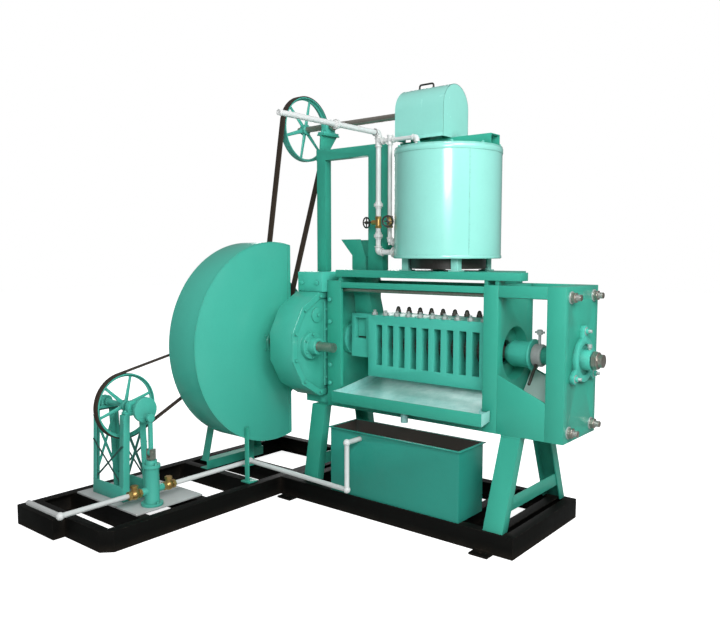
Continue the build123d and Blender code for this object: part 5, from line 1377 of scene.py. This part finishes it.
# pale sheet against the rear gusset, on which the pressed cake slides down
def makeCakeSheet():
    look = cakeLook
    deselectAll()
    bpy.ops.mesh.primitive_grid_add(x_subdivisions=24, y_subdivisions=12, size=1)
    sheet = bpy.context.active_object
    for vert in sheet.data.vertices:
        across, down = vert.co.x + 0.5, 0.5 - vert.co.y
        x = look["x"][0] + across * (look["x"][1] - look["x"][0])
        top = look["top"][0] + across * (look["top"][1] - look["top"][0])
        wave = look["ripple"] * math.sin(9.0 * across + 4.0 * down) * math.sin(math.pi * across) * down
        z = top - look["drop"] * down - look["sag"] * math.sin(math.pi * down) + wave
        vert.co = (x, look["y"] - look["reach"] * down, z)
    applyModifier(sheet, "SOLIDIFY", thickness=look["thick"], offset=0)
    smoothFaces(sheet, 40)
    sheet.name = "cakeSheet"
    finishPiece(sheet, "paleSheet", "press_frame")


steamLook = {
    "radius": 0.017,
    "small": 0.0136,
    "bore": 0.013,
    "unionY": -0.62,
    "y": -0.200,
    "inletX": 0.146,
    "bypassX": 0.240,
    "lidX": 0.450,
    "top": 2.498,
    "branchTop": 2.444,
    "endY": -1.110,
    "over": 1.958,
    "under": 1.882,
    "low": 1.723,
    "branchLow": 1.788,
    "shell": 0.2753,
    "lidTop": 2.380,
}


# a pipe with a beaded elbow at each bend
def makeFittedPipe(points, radius):
    parts = [makePipe(points, radius, radius * 1.25, 24)]
    reach, wide, lip = radius * 2.3, radius * 1.42, radius * 1.52
    for number in range(1, len(points) - 1):
        before, here, after = (Vector(points[number + s]) for s in (-1, 0, 1))
        way, nextWay = (here - before).normalized(), (after - here).normalized()
        elbow = [here - way * reach, here, here + nextWay * reach]
        parts.append(makePipe(elbow, radius * 1.26, radius * 1.25, 24))
        for place, direction in ((here - way * reach, way), (here + nextWay * (reach - 0.007), nextWay)):
            bead = [(0, radius), (0, wide), (0.0015, lip), (0.0055, lip), (0.007, wide), (0.007, radius)]
            parts.append(makeTurned(bead, place, direction, 28, closed=True))
    return parts


def makeUnion(place, way, radius):
    start = Vector(place) - Vector(way) * radius * 1.3
    size = radius * 2.6
    shares = [(0, 1), (0, 1.25), (0.25, 1.32), (0.25, 1.75), (0.70, 1.75), (0.72, 1.32), (1, 1.25), (1, 1)]
    rings = [(size * along, radius * wide) for along, wide in shares]
    return makeTurned(rings, start, way, 12, closed=True, smooth=20)


def makeTee(place, size):
    half = [(1.4, 1.1), (1.5, 1.25), (1.9, 1.25), (1.9, 1)]
    shares = [(-along, wide) for along, wide in reversed(half)] + half
    rings = [(size * along, size * wide) for along, wide in shares]
    branch = [(size * along, size * wide) for along, wide in ((0, 1.1), (1.7, 1.1), (1.7, 1.25), (2.1, 1.25))]
    run = makeTurned(rings, place, alongZ, 28, closed=True)
    return [run, makeTurned(branch, place, alongX, 28)]


# the header's open end, with its outside thread
def makeHeaderEnd(place, r, bore):
    mouth = [(0.0, bore), (0.0, 0.0165), (0.0005, r), (0.0595, r), (0.061, r), (0.061, bore)]
    parts = [makeTurned(mouth, place, alongY, 32, closed=True)]
    for step in range(5):
        ring = [(0, r * 0.97), (0.001, r * 1.035), (0.002, r * 1.035), (0.003, r * 0.97)]
        parts.append(makeTurned(ring, (place[0], place[1] + 0.003 + 0.0042 * step, place[2]), alongY, 24))
    return parts


def makeSteamPipes():
    look = steamLook
    r, small, y, top, branch = (look[key] for key in ("radius", "small", "y", "top", "branchTop"))
    inlet, bypass, lid, shell = look["inletX"], look["bypassX"], look["lidX"], look["shell"] + 0.004
    over, under, low, branchLow = look["over"], look["under"], look["low"], look["branchLow"]
    parts = makeHeaderEnd((inlet, look["endY"], top), r, look["bore"])
    for points, radius in (
        ([(inlet, look["endY"] + 0.06, top), (inlet, y, top), (inlet, y, over)], r),
        ([(bypass + 0.02, y, branch), (lid, y, branch), (lid, y, look["lidTop"] + 0.001)], small),
        ([(inlet, y, branch), (bypass + 0.03, y, branch)], small),
        ([(bypass, y, branch), (bypass, y, over)], small),
        ([(inlet, y, under), (inlet, y, low), (shell, y, low)], r),
        ([(bypass, y, under), (bypass, y, branchLow), (shell, y, branchLow)], small),
    ):
        parts += makeFittedPipe(points, radius)
    for x, size in ((inlet, r * 1.12), (bypass, small * 1.2)):
        parts += makeTee((x, y, branch), size)
    for place, way in (
        ((inlet, y, over + 0.075), alongZ),
        ((inlet, look["unionY"], top), alongY),
        ((inlet, y, under - 0.05), alongZ),
    ):
        parts.append(makeUnion(place, way, r))
    for place, size, way in (
        ((look["shell"] - 0.006, y, low), r, alongX),
        ((look["shell"] - 0.006, y, branchLow), small, alongX),
        ((lid, y, look["lidTop"]), small, alongZ),
    ):
        shares = [(0, 1), (0, 2.0), (0.008, 2.0), (0.009, 1.9), (0.009, 1.3), (0.016, 1.2), (0.016, 1)]
        flange = [(along, size * wide) for along, wide in shares]
        parts.append(makeTurned(flange, place, way, 32, closed=True))
    finishPiece(joinPieces("steamPipes", parts), "pipePaint", "press_frame", "steam_pipework")


makeSoftPieces()
makeTray()
makePumpStand()
makeOilTank()
print("frames, castings and sheet pieces are finished")
makeKettle()
makeLid()
makeBoxGuard()
print("kettle, lid and box guard are finished")
makeBeltGuard()
for pulleyName, pulleyLook in pulleyLooks.items():
    makeSpokedPulley(pulleyName, pulleyLook)
makeBelts()
print("belt guard, pulleys and belts are finished")
makeCoverTrim()
makeCageStuds()
makeTieRodEnds()
makeShaftEnd()
makeChokeNut()
makeCakeSheet()
makeSteamPipes()
print("fasteners, choke and steam pipes are finished")
